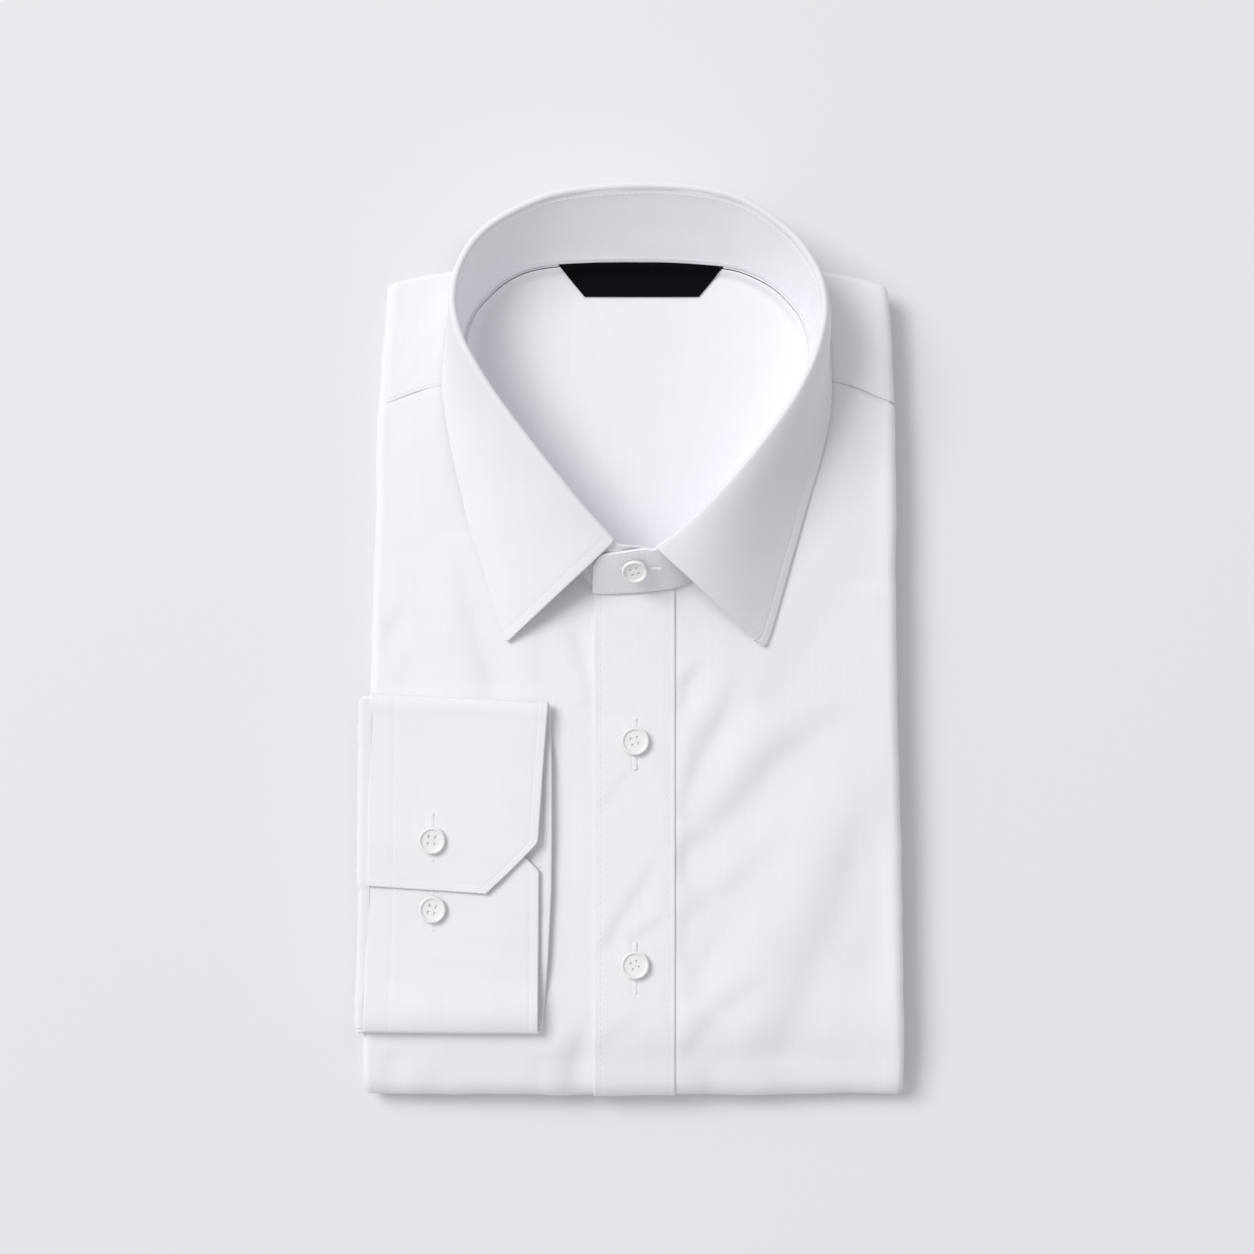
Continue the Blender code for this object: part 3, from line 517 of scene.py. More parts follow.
def wall(name, points, thickness, look, rim=3):
    """A cloth wall with rounded rims, from the grid of its outer face.

    The thickness is signed: its sign picks the inner side.
    """
    rows, across = points.shape[:2]
    inner = points + grid_normals(points) * thickness
    faces = [quads(rows, across, 0, thickness < 0),
             quads(rows, across, rows * across, thickness > 0)]
    border = [(0, j) for j in range(across)]
    border += [(i, across - 1) for i in range(1, rows)]
    border += [(rows - 1, j) for j in range(across - 2, -1, -1)]
    border += [(i, 0) for i in range(rows - 2, 0, -1)]
    i, j = np.array(border).T
    outside, inside = points[i, j], inner[i, j]
    away = unit(outside - points[np.clip(i, 1, rows - 2), np.clip(j, 1, across - 2)])
    made = [points.reshape(-1, 3), inner.reshape(-1, 3)]
    rings = [i * across + j]
    for k in range(rim):
        angle = math.pi * (k + 1) / (rim + 1)
        made.append((outside + inside) / 2 + (outside - inside) / 2 * math.cos(angle)
                    + away * abs(thickness) / 2 * math.sin(angle))
        rings.append(np.arange(len(border)) + 2 * rows * across + k * len(border))
    rings.append(rings[0] + rows * across)
    for first, last in zip(rings, rings[1:]):
        face = band(first, last)
        faces.append(face[:, ::-1] if thickness < 0 else face)
    return new_mesh(name, join(*made), join(*faces), look)


# Materials

WARP_SCALE = (620.0, 34.0, 34.0)
WEAVE_SCALE = (2600.0, 1700.0, 1700.0)
WEAVE_DEPTH = 0.00012


def set_inputs(node, values):
    """Set a shader node's inputs by name."""
    for key, value in values.items():
        node.inputs[key].default_value = value


def new_look(name, values):
    """A material with its shader."""
    look = bpy.data.materials.new(name)
    look.use_nodes = True
    shader = look.node_tree.nodes["Principled BSDF"]
    set_inputs(shader, values)
    return look, shader


def cotton(name, colour, rough, weave, streak):
    """Woven cotton: a fine weave, faint streaks along the warp and a soft sheen."""
    look, shader = new_look(name, {"Roughness": rough, "Specular IOR Level": 0.25,
                                   "Sheen Weight": 0.1, "Sheen Roughness": 0.4})
    nodes = look.node_tree.nodes
    link = look.node_tree.links.new
    place = nodes.new("ShaderNodeTexCoord")
    fibres = []
    for scale, detail in ((WARP_SCALE, 2.0), (WEAVE_SCALE, 1.0)):
        stretch = nodes.new("ShaderNodeMapping")
        set_inputs(stretch, {"Scale": scale})
        link(place.outputs["Object"], stretch.inputs["Vector"])
        fibre = nodes.new("ShaderNodeTexNoise")
        set_inputs(fibre, {"Scale": 1.0, "Detail": detail})
        link(stretch.outputs["Vector"], fibre.inputs["Vector"])
        fibres.append(fibre.outputs["Fac"])
    warp, slub = fibres
    tint = nodes.new("ShaderNodeMix")
    tint.data_type = "RGBA"
    set_inputs(tint, {"A": (*[c * (1 - streak) for c in colour], 1.0), "B": (*colour, 1.0)})
    link(warp, tint.inputs["Factor"])
    link(tint.outputs["Result"], shader.inputs["Base Color"])
    both = nodes.new("ShaderNodeMath")
    both.operation = "ADD"
    link(slub, both.inputs[0])
    link(warp, both.inputs[1])
    bump = nodes.new("ShaderNodeBump")
    set_inputs(bump, {"Strength": weave, "Distance": WEAVE_DEPTH})
    link(both.outputs["Value"], bump.inputs["Height"])
    link(bump.outputs["Normal"], shader.inputs["Normal"])
    return look


def plain(name, colour, rough, specular=0.5, coat=0.0):
    """A smooth material of one colour."""
    return new_look(name, {"Base Color": (*colour, 1.0), "Roughness": rough,
                           "Specular IOR Level": specular, "Coat Weight": coat,
                           "Coat Roughness": 0.12})[0]


POPLIN = cotton("poplin", (0.86, 0.852, 0.882), 0.82, 0.35, 0.03)
# Darker copy of the poplin for the sleeve: painted shade that dulls the sleeve's lit, rounded side
POPLIN_PAINTED_SHADE = cotton("poplin_painted_shade", (0.825, 0.817, 0.847), 0.82, 0.35, 0.03)
# Lighter copy of the stiff poplin for the stand: painted light that brightens its tilted face, which
# lies in the leaf's shade
STAND_POPLIN_PAINTED_LIGHT = cotton("stand_poplin_painted_light", (0.92, 0.911, 0.942), 0.78, 0.3, 0.025)
STIFF = cotton("stiff_poplin", (0.835, 0.827, 0.857), 0.78, 0.3, 0.025)
THREAD_LOOK = plain("thread", (0.87, 0.862, 0.89), 0.6, 0.3)
SATIN = plain("satin", (0.003, 0.003, 0.0048), 0.6, 0.04)
SHELL_PEARL = plain("shell_pearl", (0.87, 0.862, 0.84), 0.24, 0.5, 0.5)


# The folded body

def body_relief(x, y, side):
    """Creases and soft unevenness of the upper face, fading at its borders."""
    relief = crease_relief(CREASES, x, y)
    relief += rumple(x, y, (0.16, 3 + side, 46.0), (0.05, 9 + side, 17.0))
    relief *= 1 - 0.75 * smooth_step(0.9, 1.0, np.abs(x) / half_width(x, y))
    under_cuff = smooth_step(CUFF_BOTTOM - 6, CUFF_BOTTOM + 4, y)
    under_cuff *= 1 - smooth_step(CUFF_TOP - 4, CUFF_TOP + 8, y)
    under_cuff *= 1 - smooth_step(-40.0, -28.0, x)
    return relief * (1 - under_cuff)


def lower_relief(x, y, side):
    """Soft unevenness of the half that lies beneath."""
    return np.minimum(0.10 * waves(x, y, 21 + side, 40.0), 0.0) - 0.02


def path(upper_first, step):
    """Places down the front, round the bottom fold and back up to the hem, with turns."""
    upper = np.arange(upper_first, TURN_Y + 1.0, -step)
    lower = join(np.linspace(TURN_Y + 2, -120, 12), np.linspace(-114, 140, 44),
                 np.linspace(141.5, HEM_Y, 6))
    rows = [(y, 90.0) for y in upper]
    rows += [(TURN_Y, angle) for angle in np.linspace(66, -90, 20)]
    return rows + [(y, -90.0) for y in lower]


def side_fold(radius):
    """How far out and how deep the cloth lies at steps round a side fold."""
    bend = np.radians(np.linspace(9, 180, 20))
    return radius * np.sin(bend), radius * (1 - np.cos(bend))


def front_row(side, inner, outer_y, turn, near=1.0):
    """One row of a front, from its inner edge over the side fold and into the slit."""
    level = math.sin(math.radians(turn))
    width = half_width(side, outer_y) - LOWER_INSET * smooth_step(0, 1, -level)
    width += rumple(side * 90.0, outer_y, (0.28, 40 + side, 60.0), (0.16, 44 + side, 21.0))
    radius = (body("edge", outer_y) / 2 - slit_at(side, outer_y)) / 2
    flat = width - radius
    share = np.linspace(0, 1, FRONT_COLUMNS)
    reach = mix(inner[0], flat, share)
    x = side * reach
    y = mix(inner[1], outer_y, share ** near)
    deep = SHELL + GAP - PLACKET_RISE * (1 - smooth_step(-1, 1, -level))
    dip = deep * (1 - smooth_step(PLACKET_REACH - 1.4, PLACKET_REACH + 0.6, reach))
    relief = body_relief if turn > 0 else lower_relief
    lift = relief(x, y, side) * abs(level)
    lift *= smooth_step(PLACKET_REACH - 2, PLACKET_REACH + 5, reach)
    out, drop = side_fold(radius)
    bulge = lift[-1] * (1 - drop / (2 * radius))
    height = crown_z(side * flat, outer_y)
    back = flat - np.linspace(2, SIDE_RETURN, 4)
    return join(lay(x, dip - lift, y, turn, crown_z(x, y)),
                lay(side * (flat + out), drop - bulge, outer_y, turn, height),
                lay(side * back, 2 * radius, outer_y, turn, height))


def seam_plan(row):
    """The neck seam's places as seen from above."""
    return np.stack([row["seam_x"], row["seam_y"]], axis=1)


def make_front(name, side, stations, sunk):
    """A front: from under the yoke and the neck, round the bottom fold, to the hem.

    The stations are rows of the collar's table. Under the yoke the front is sunk a little.
    """
    seam = seam_plan(NECK)[stations]
    inner = seam + unit(np.array([0.0, FRONT_AIM_Y]) - seam) * FRONT_TUCK
    inner = np.vstack([inner[0] + (0.3 * side, 5.0), inner,
                       [(FRONT_INNER_X, y) for y in FRONT_INNER_Y]])
    keys = np.arange(len(inner))
    at, inner_x = hermite(keys, np.abs(inner[:, 0]), FRONT_ROWS)
    inner_y = hermite(keys, inner[:, 1], FRONT_ROWS)[1]
    outer_y = hermite(keys, FRONT_OUTER_Y, FRONT_ROWS)[1]
    near = 1 + 0.9 * (1 - smooth_step(1.0, 5.0, at))
    under = sunk * (1 - smooth_step(0.9, 1.2, at))
    rows = []
    for n in range(FRONT_ROWS):
        first = (max(inner_x[n], FRONT_INNER_X), inner_y[n])
        row = front_row(side, first, outer_y[n], 90.0, near[n])
        reach = np.abs(row[:, 0])
        row[:, 2] -= under[n]
        row[:, 0] -= side * under[n] * smooth_step(reach.max() - 4, reach.max(), reach)
        rows.append(row)
    rows += [front_row(side, (FRONT_INNER_X, y), y, turn) for y, turn in path(-6.0, 1.7)]
    grid = np.array(rows)
    return wall(name, grid, -side * SHELL, POPLIN), grid


def buttonhole_pucker(x, y):
    """The cloth drawn in on both sides of a buttonhole, with short puckers beyond it."""
    pull = np.zeros(len(x))
    for middle in BUTTONHOLE_Y:
        far = abs(y - middle)
        pull -= 0.16 * (1 - smooth_step(9.0, 11.5, far)) * ridge(np.abs(x) - 1.1, 0.5)
        ripple = np.sin((x * 0.9 + (y - middle) * 0.5) * 1.6)
        pull += 0.07 * ripple * ridge(far - 9.0, 4.5) * ridge(x, 5.0)
    return pull


def make_placket():
    """The placket strip, proud of the fronts above and flush with them below."""
    x = join([PLACKET_LEFT, PLACKET_LEFT + 0.5], np.linspace(PLACKET_LEFT + 1.2, -3.4, 12),
             np.linspace(-2.8, 2.8, 15), np.linspace(3.4, PLACKET_RIGHT - 1.2, 12),
             [PLACKET_RIGHT - 0.5, PLACKET_RIGHT])
    edge_in = np.minimum(x - PLACKET_LEFT, PLACKET_RIGHT - x)
    rows = []
    for y, turn in path(PLACKET_TOP, 1.5):
        level = math.sin(math.radians(turn))
        if turn > 0:
            lift = crease_relief(PLACKET_CREASES, x, y) + buttonhole_pucker(x, y)
            lift += 0.05 * (waves(x, y, 31, 16.0) + waves(x * 0.2, y, 33, 9.0))
        else:
            lift = lower_relief(x, y, 5)
        lift = lift * abs(level) * smooth_step(0, 3.0, edge_in)
        lift -= 0.10 * ridge(edge_in - PLACKET_STITCH, 0.55)
        proud = PLACKET_RISE * smooth_step(-1, 1, level)
        rows.append(lay(x, -proud - lift, y, turn, crown_z(x, y)))
    grid = np.array(rows)
    return wall("placket_cloth", grid, -PLACKET_SHELL, POPLIN), grid


# The yoke's outer edge: places in the collar's table with their x and y
YOKE_EDGE = columns("at x y", (
    (5, -105.6, 115.5), (6, -104.6, 133), (7, -103.4, 148), (7.7, -102.7, 157.5),
    (8.2, -102.35, 162.2), (8.5, -101.7, 164.7), (8.8, -99.8, 166.2), (9.2, -96, 167.2),
    (9.6, -89, 169), (10, -80, 170.5), (11, -66, 172.4), (12, -50, 175.2),
    (13, -35, 177.6), (14, -19, 178.6), (15, -3.3, 178.9), (16, 12, 178.7),
    (17, 28, 177.8), (18, 43, 176.4), (19, 57, 173.9), (20, 72, 171.8),
    (21, 86, 169.4), (21.5, 94.5, 167.5), (21.8, 99.5, 166.2), (22.1, 103, 164.9),
    (22.4, 104.4, 162.6), (22.8, 104.9, 159), (23.4, 105.4, 152), (24, 106, 138),
    (25, 107, 116.5),
))


def yoke_edge(at):
    """The shoulder folds' outline, read at places counted in rows of the collar's table."""
    curves = [hermite(YOKE_EDGE["at"], YOKE_EDGE[key], FINE_STEPS) for key in ("x", "y")]
    return np.stack([np.interp(at, *curve) for curve in curves], axis=1)


def make_yoke():
    """The yoke: from the neck seam out over the shoulder folds and back beneath them."""
    at = join(np.linspace(YOKE_FIRST, 7.6, 26), np.linspace(7.7, 10, 40),
              np.linspace(10.1, 20.4, 76), np.linspace(20.5, 22.9, 40),
              np.linspace(23, YOKE_LAST, 20))
    seams = seam_plan(table_at(NECK, at))
    seams = seams + unit(np.array([0.0, YOKE_AIM_Y]) - seams) * YOKE_TUCK
    share = np.linspace(0, 1, 26)
    calm = smooth_step(0, 0.3, share) * (1 - smooth_step(0.85, 1.0, share))
    lines = []
    for n, (seam, edge) in enumerate(zip(seams, yoke_edge(at))):
        edge = edge + unit(edge - seam) * 0.2 * waves(*edge, 71, 30.0)
        out = unit(edge - seam)
        height = crown_z(*edge)
        radius = (height / 2 - SLIT) / 2
        flat = edge - out * radius
        top = seam + (flat - seam) * share[:, None]
        bow = 1.5 * ridge(min(n, len(at) - 1 - n), 9.0)
        x = top[:, 0]
        y = top[:, 1] + bow * np.sin(math.pi * share ** 1.3) * (1 - share ** 6)
        lift = rumple(x, y, (0.22, 75, 30.0), (0.08, 77, 11.0)) * calm
        lift -= 0.14 * ridge(length(top - seam) - 3.6, 0.9)
        around, drop = side_fold(radius)
        place = flat + out * join(around, -np.linspace(1, SIDE_RETURN - 4, 4))[:, None]
        under = height - join(drop, np.full(4, 2 * radius))
        lines.append(join(stack(x, y, crown_z(x, y) + lift),
                          stack(place[:, 0], place[:, 1], under)))
    grid = np.array(lines)
    return wall("yoke_cloth", grid, -YOKE_SHELL, POPLIN), grid


def nearest(x, y, places):
    """The distance to the nearest of some places, and that place's number."""
    gap = np.hypot(x[..., None] - places[:, 0], y[..., None] - places[:, 1])
    return gap.min(axis=-1), gap.argmin(axis=-1)


def stand_table(at):
    """The stand's whole line, its button end first, read at places counted in rows."""
    return table_at({key: join(STAND_BUTTON_END[key], NECK[key], STAND_HOLE_END[key])
                     for key in STAND_BUTTON_END}, at)


def seam_height(x, y):
    """Height of the stand's lower edge above the floor, where it is sewn."""
    over = (1 - smooth_step(17, 24, np.abs(x))) * (np.asarray(y) < 50)
    return crown_z(x, y) + STAND_LIFT + PLACKET_RISE * over


def collar_places(row):
    """The neck seam, the roll above it, and the way up from one to the other."""
    seam = stack(row["seam_x"], row["seam_y"], seam_height(row["seam_x"], row["seam_y"]))
    roll = stack(row["roll_x"], row["roll_y"], row["roll_z"])
    return seam, roll, unit(roll - seam)


def make_yoke_facing():
    """The inner layer seen through the neck, rising all round to the neck seam."""
    half = np.linspace(0, 15.42, 96)
    left = seam_plan(table_at(NECK, half))[:, None]
    right = seam_plan(table_at(NECK, NECK_LAST - half))[:, None]
    line = seam_plan(table_at(NECK, np.linspace(0, NECK_LAST, 500)))
    line = join(line, mix(line[-1], line[0], np.linspace(0, 1, 40)[:, None]))
    place = mix(left, right, np.linspace(0, 1, 90)[:, None])
    away = place - np.array([0.0, FACING_MIDDLE_Y])
    far, beside = nearest(place[..., 0], place[..., 1], line)
    inward = 1.4 * (1 - smooth_step(0, 8, far)) / np.maximum(length(away), 1)
    x, y = np.moveaxis(place - away * inward[..., None], -1, 0)
    rim = seam_height(line[:, 0], line[:, 1])[beside] - 1.3
    wide = 5.0 + 5.0 * (1 - smooth_step(60, 140, y))
    z = mix(FLOOR_Z, rim, (1 - smooth_step(0, 1, far / wide)) ** 1.4)
    z += smooth_step(3, 14, far) * rumple(x, y, (0.22, 91, 34.0), (0.06, 93, 13.0))
    grid = stack(x, y, z)
    return wall("yoke_facing_cloth", grid, SHELL, POPLIN), grid


def make_stand():
    """The collar stand: a band from the neck seam up to just over the leaf's inner edge."""
    at = np.unique(join([0, 0.06, 0.14], np.linspace(0.2, 2, 12), np.linspace(2, 33, 190),
                        np.linspace(33, STAND_LAST - 0.6, 24),
                        STAND_LAST - np.array([0.45, 0.3, 0.18, 0.08, 0])))
    seam, roll, up = collar_places(stand_table(at))
    leafed = smooth_step(1.2, 2.0, at) * (1 - smooth_step(33.0, 33.8, at))
    top = roll - up * mix(1.0, ROLL_TURN - 0.3, leafed)[:, None]
    tall = length(top - seam)
    low_steps = np.array([0, 0.5, 1.1, 1.7, 2.3, 3.0, 4.2])
    high_steps = np.array([2.5, 1.9, 1.4, 0.9, 0.4, 0.0])
    lines = []
    for n in range(len(at)):
        reach = join(low_steps, np.linspace(5.6, tall[n] - 3.2, 12), tall[n] - high_steps)
        bow = 0.5 * np.sin(math.pi * reach / tall[n])
        bow += 0.12 * waves(at[n] * 8.0, reach, 101, 20.0)
        bow -= 0.12 * (ridge(reach - STAND_LOW_STITCH, 0.5)
                       + ridge(tall[n] - STAND_HIGH_STITCH - reach, 0.5))
        ahead = unit(seam[min(n + 1, len(at) - 1)] - seam[max(n - 1, 0)])
        side = unit(np.cross(ahead, up[n]))
        lines.append(seam[n] + up[n] * reach[:, None] - side * bow[:, None] * leafed[n])
    grid = np.array(lines)
    # The stand wears the lighter poplin copy: painted light on its shaded face
    return wall("collar_stand_cloth", grid, -COLLAR_SHELL, STAND_POPLIN_PAINTED_LIGHT), grid


# The leaf's lines, as places in the collar's table, close together at its two points
LEAF_AT = join([0, 0.025, 0.06, 0.10, 0.15, 0.185, 0.215, 0.245, 0.28, 0.34, 0.42],
               np.linspace(0.5, 30.4, 170),
               [30.5, 30.6, 30.68, 30.73, 30.77, 30.81, 30.86, 30.91, 30.95, 30.98, 31.0])
LEAF_EDGE_STEPS = np.array([6.0, 5.2, 4.6, 4.2, 3.95, 3.7, 3.45, 3.2, 2.7, 1.9, 1.1, 0.5, 0])
LEAF_STEPS = 160
ROLL_STEPS = 15

# The radii of its two points; where its lines are straight, and where its roll is soft
LEAF_TIP_ROUND = (1.1, 2.6)
LEAF_STRAIGHT_AT = (0.0, 1.0, 2.0, 3.0)
LEAF_STRAIGHT = (1.0, 0.6, 0.2, 0.0)
LEAF_SOFT_AT = (18.0, 21.0, 26.0, 30.0, 31.0)
LEAF_SOFT = (0.0, 0.35, 0.8, 1.0, 1.0)
LEAF_SETTLE = 1.9


def leaf_line(roll, up, out, edge, soft, straight):
    """One line over the roll, and the curve that follows it down to the free edge."""
    radius = ROLL_WIDTH / 2
    angle = np.radians(np.linspace(180, mix(20, 62, soft), ROLL_STEPS))[:, None]
    rolled = roll + (out * (1 + np.cos(angle)) + up * (np.sin(angle) - 1)) * radius
    start = rolled[-1]
    span = length(edge - start)
    first = start + span * (out * mix(0.10, 0.24, soft) - up * mix(0.36, 0.20, soft))
    last = edge + np.array([*0.30 * (roll - edge)[:2], span * 0.16])
    t = np.linspace(0, 1, LEAF_STEPS)[:, None]
    s = 1 - t
    curve = start * s ** 3 + first * 3 * s * s * t + last * 3 * s * t * t + edge * t ** 3
    chord = (edge - start)[:2]
    share = ((curve - start)[:, :2] @ chord) / (chord @ chord)
    curve[:, :2] = mix(curve[:, :2], start[:2] + share[:, None] * chord, straight)
    return [roll - up * ROLL_TURN, roll - up * (ROLL_TURN - 1.1), *rolled], curve


def draw_back(curve, radius, gap):
    """The curve's end drawn back at a gap from the leaf's point, to round the point off."""
    if gap >= radius:
        return curve
    held = radius - math.sqrt(radius ** 2 - (radius - gap) ** 2)
    keep = 1 - held / distances(curve)[-1]
    far = np.linspace(0, keep, LEAF_STEPS) * (LEAF_STEPS - 1)
    return read_line(far, np.arange(LEAF_STEPS), curve)


def make_leaf():
    """The collar leaf: its lines go in over the roll, then down outside to the free edge."""
    row = table_at(NECK, LEAF_AT)
    _, roll, up = collar_places(row)
    gap = row["edge_z"] - crown_z(row["edge_x"], row["edge_y"])
    settled = row["edge_z"] - LEAF_SETTLE * smooth_step(LEAF_SETTLE, 3.4, gap)
    edge = stack(row["edge_x"], row["edge_y"], settled)
    out = unit(np.cross(-unit(np.gradient(roll, LEAF_AT, axis=0)), up))
    soft = np.interp(LEAF_AT, LEAF_SOFT_AT, LEAF_SOFT)
    from_end = np.minimum(LEAF_AT, LEAF_AT[-1] - LEAF_AT)
    straight = np.interp(from_end, LEAF_STRAIGHT_AT, LEAF_STRAIGHT)
    lines = []
    for n in range(len(LEAF_AT)):
        rolled, curve = leaf_line(roll[n], up[n], out[n], edge[n], soft[n], straight[n])
        end = 0 if n < len(LEAF_AT) / 2 else -1
        curve = draw_back(curve, LEAF_TIP_ROUND[end], length(edge[n] - edge[end]))
        run = distances(curve)
        wanted = join(np.linspace(0, run[-1] - 7.0, 27)[1:], run[-1] - LEAF_EDGE_STEPS)
        lines.append([*rolled, *read_line(wanted, run, curve)])
    grid = np.array(lines)
    ends = np.minimum(length(grid - grid[:1]), length(grid - grid[-1:]))
    groove = ridge(length(grid - grid[:, -1:]) - LEAF_STITCH, 0.42)
    groove += ridge(ends - LEAF_STITCH, 0.42)
    relief = 0.16 * (waves(grid[..., 0], grid[..., 1], 121, 38.0) - np.minimum(groove, 1.0))
    relief[:, :ROLL_STEPS + 2] = 0.0
    grid = grid + grid_normals(grid) * relief[..., None]
    return wall("collar_leaf_cloth", grid, -COLLAR_SHELL, STIFF), grid


def make_label(facing):
    """The bare neck label on the facing: a tab that is wider at its top edge."""
    share = np.linspace(0, 1, 22)[:, None]
    wide = mix(LABEL_TOP_WIDTH, LABEL_LOW_WIDTH, share) / 2
    x = LABEL_X + wide * np.linspace(-1, 1, 70)
    y = LABEL_TOP_Y - LABEL_DEPTH * share + 0 * x
    cloth = facing.reshape(-1, 3)
    under = cloth[nearest(x, y, cloth)[1], 2]
    for _ in range(4):
        padded = np.pad(under, 1, mode="edge")
        under = (padded[:-2, 1:-1] + padded[2:, 1:-1] + padded[1:-1, :-2]
                 + padded[1:-1, 2:] + under) / 5
    grid = stack(x, y, under + 0.75 + 0.10 * waves(x, y, 131, 18.0))
    return wall("neck_label_cloth", grid, -LABEL_SHELL, SATIN)


# The cuff and its sleeve

# How the cuff sinks toward its lower outer corner, and rises at its buttonhole end
CUFF_DIP = 1.9
CUFF_END_RISE = 0.5
CUFF_GROOVE = 0.13
SLEEVE_PAST_CUFF = (0.8, 1.4)
SLEEVE_DOUBLED = 0.8
SLEEVE_LAYER_SHELL = 0.3
SLEEVE_LAYER_LENGTH = 12.0


def cuff_lines():
    """The cuff's strip: its buttonhole end first, then round both folds to its other end.

    Gives places along the strip, those of the table's rows, and y, rise and right edge there.
    """
    run = join([0], np.cumsum(np.hypot(np.diff(CUFF["y"]), np.diff(CUFF["rise"]))))
    ends = np.array([0, 0.4, 1.0, 1.8, 2.4, 3.0, 3.6, 4.4])
    at = join(ends, np.linspace(5.6, run[-1] - 5.6, 250), run[-1] - ends[::-1])
    y, rise = [np.interp(at, *hermite(run, CUFF[key], CUFF_STEPS)) for key in ("y", "rise")]
    return at, run, y, rise, np.interp(at, run, CUFF["right"])


def make_cuff():
    """The cuff: one strip wound flat, its mitred buttonhole end over its other end."""
    from_edge = np.array([4.6, 3.9, 3.5, 3.1, 2.8, 2.5, 2.1, 1.6, 1.0, 0.4, 0.0])
    from_seam = np.array([0, 0.5, 1.2, 2.4, 4.2, 6.4, 8.6, 9.3, 9.7, 10.1, 10.8])
    along, _, *strip = cuff_lines()
    lines = []
    for at, y, rise, right in zip(along, *strip):
        left = CUFF_SEAM_INSET - body("left", y)
        middle = np.linspace(left + 12.5, right - 6.0, 34)
        x = join(left + from_seam, middle, right - from_edge)
        across = x - left
        slant = smooth_step(-44, -8, y) * mix(2.3, -1.1, across / (right - left))
        slant += (1 - smooth_step(4, 30, at)) * mix(1.8, -1.1, across / 50.0)
        groove = ridge(right - x - CUFF_STITCH, 0.45) + ridge(across - CUFF_SIDE_STITCH, 0.5)
        groove += ridge(at - CUFF_STITCH, 0.5)
        z = crown_z(x, y) + rise - CUFF_GROOVE * np.minimum(groove, 1.0)
        z += 0.10 * waves(x, y + slant + at * 0.3, 141, 36.0)
        z += 0.16 * waves(x, y + slant + at * 0.2, 143, 21.0)
        z += CUFF_DIP * (1 - (1 - smooth_step(-90, -38, x)) * smooth_step(-146, -94, y))
        z += CUFF_END_RISE * (1 - smooth_step(0, 30, at)) * smooth_step(-92, -58, x)
        lines.append(stack(x, y + slant, z))
    grid = np.array(lines)
    return wall("cuff_cloth", grid, CUFF_SHELL, STIFF), grid


def pressed(share):
    """A sine or cosine drawn out, so that a round fold turns into a pressed one."""
    return np.sign(share) * np.abs(share) ** SLEEVE_PRESS


def sleeve_bend(y):
    """The middle of the sleeve's fold: its place across, its upper height and its lower one."""
    edge = body("edge", y)
    side = SLEEVE_BEND - SLEEVE_STAND_OFF - body("left", y)
    return side, edge + SLEEVE_LIFT - SLEEVE_BEND, edge / 2 + SLEEVE_BEND


def make_sleeve():
    """The sleeve's flat tube from the cuff over the body's side and into the slit."""
    stages = join(np.linspace(SLEEVE_START, 270, 34), [300, 330, 360])
    low = CUFF_BOTTOM + SLEEVE_PAST_CUFF[0]
    high = CUFF_TOP + SLEEVE_PAST_CUFF[1]
    flat_ys = np.linspace(low + SLEEVE_HALF, high - SLEEVE_HALF, SLEEVE_COLUMNS)
    arc = np.radians(np.linspace(90, -90, 11)[1:-1])
    loop_y = join(flat_ys, flat_ys[-1] + SLEEVE_HALF * np.cos(arc), flat_ys[::-1],
                  flat_ys[0] - SLEEVE_HALF * np.cos(arc))
    face = np.ones(SLEEVE_COLUMNS)
    loop_off = SLEEVE_HALF * join(face, np.sin(arc), -face, -np.sin(arc))
    flat = np.abs(loop_off) > SLEEVE_HALF - 0.05
    points = []
    for layer in (0.0, SHELL):
        y = loop_y - np.sign(loop_y - (low + high) / 2) * layer * ~flat
        side, top, bottom = sleeve_bend(y)
        doubled = SLEEVE_DOUBLED * flat * (loop_off > 0)
        doubled = doubled * smooth_step(SLEEVE_STEP_Y - 0.4, SLEEVE_STEP_Y + 0.4, y)
        for stage in stages:
            gather = 0.20 * waves(y, stage * 0.03, 151, 9.0)
            gather += 0.12 * waves(y, stage * 0.02, 153, 4.5)
            grown = math.sin(math.radians(min(stage - SLEEVE_START, 90)))
            off = loop_off - np.sign(loop_off) * layer + flat * gather * grown
            reach = SLEEVE_BEND + off + doubled * (stage < 230)
            bend = math.radians(min(stage, 270))
            tuck = SLEEVE_TUCK * max(stage - 270, 0) / 90
            centre = mix(top, bottom, smooth_step(178, 182, stage))
            points.append(stack(side + tuck + reach * pressed(math.cos(bend)), y,
                                centre + reach * pressed(math.sin(bend))))
    across = len(loop_y)
    shift = across * len(stages)
    rings = np.arange(shift).reshape(-1, across)
    faces = []
    for first, last in zip(rings, rings[1:]):
        outer = band(first, last, flip=True)
        faces += [outer, (outer + shift)[:, ::-1]]
    faces.append(band(rings[0], rings[0] + shift))
    faces.append(band(rings[-1], rings[-1] + shift)[:, ::-1])
    # The sleeve wears the darker poplin copy: painted shade on its lit side
    return new_mesh("sleeve_right_cloth", join(*points), join(*faces), POPLIN_PAINTED_SHADE)


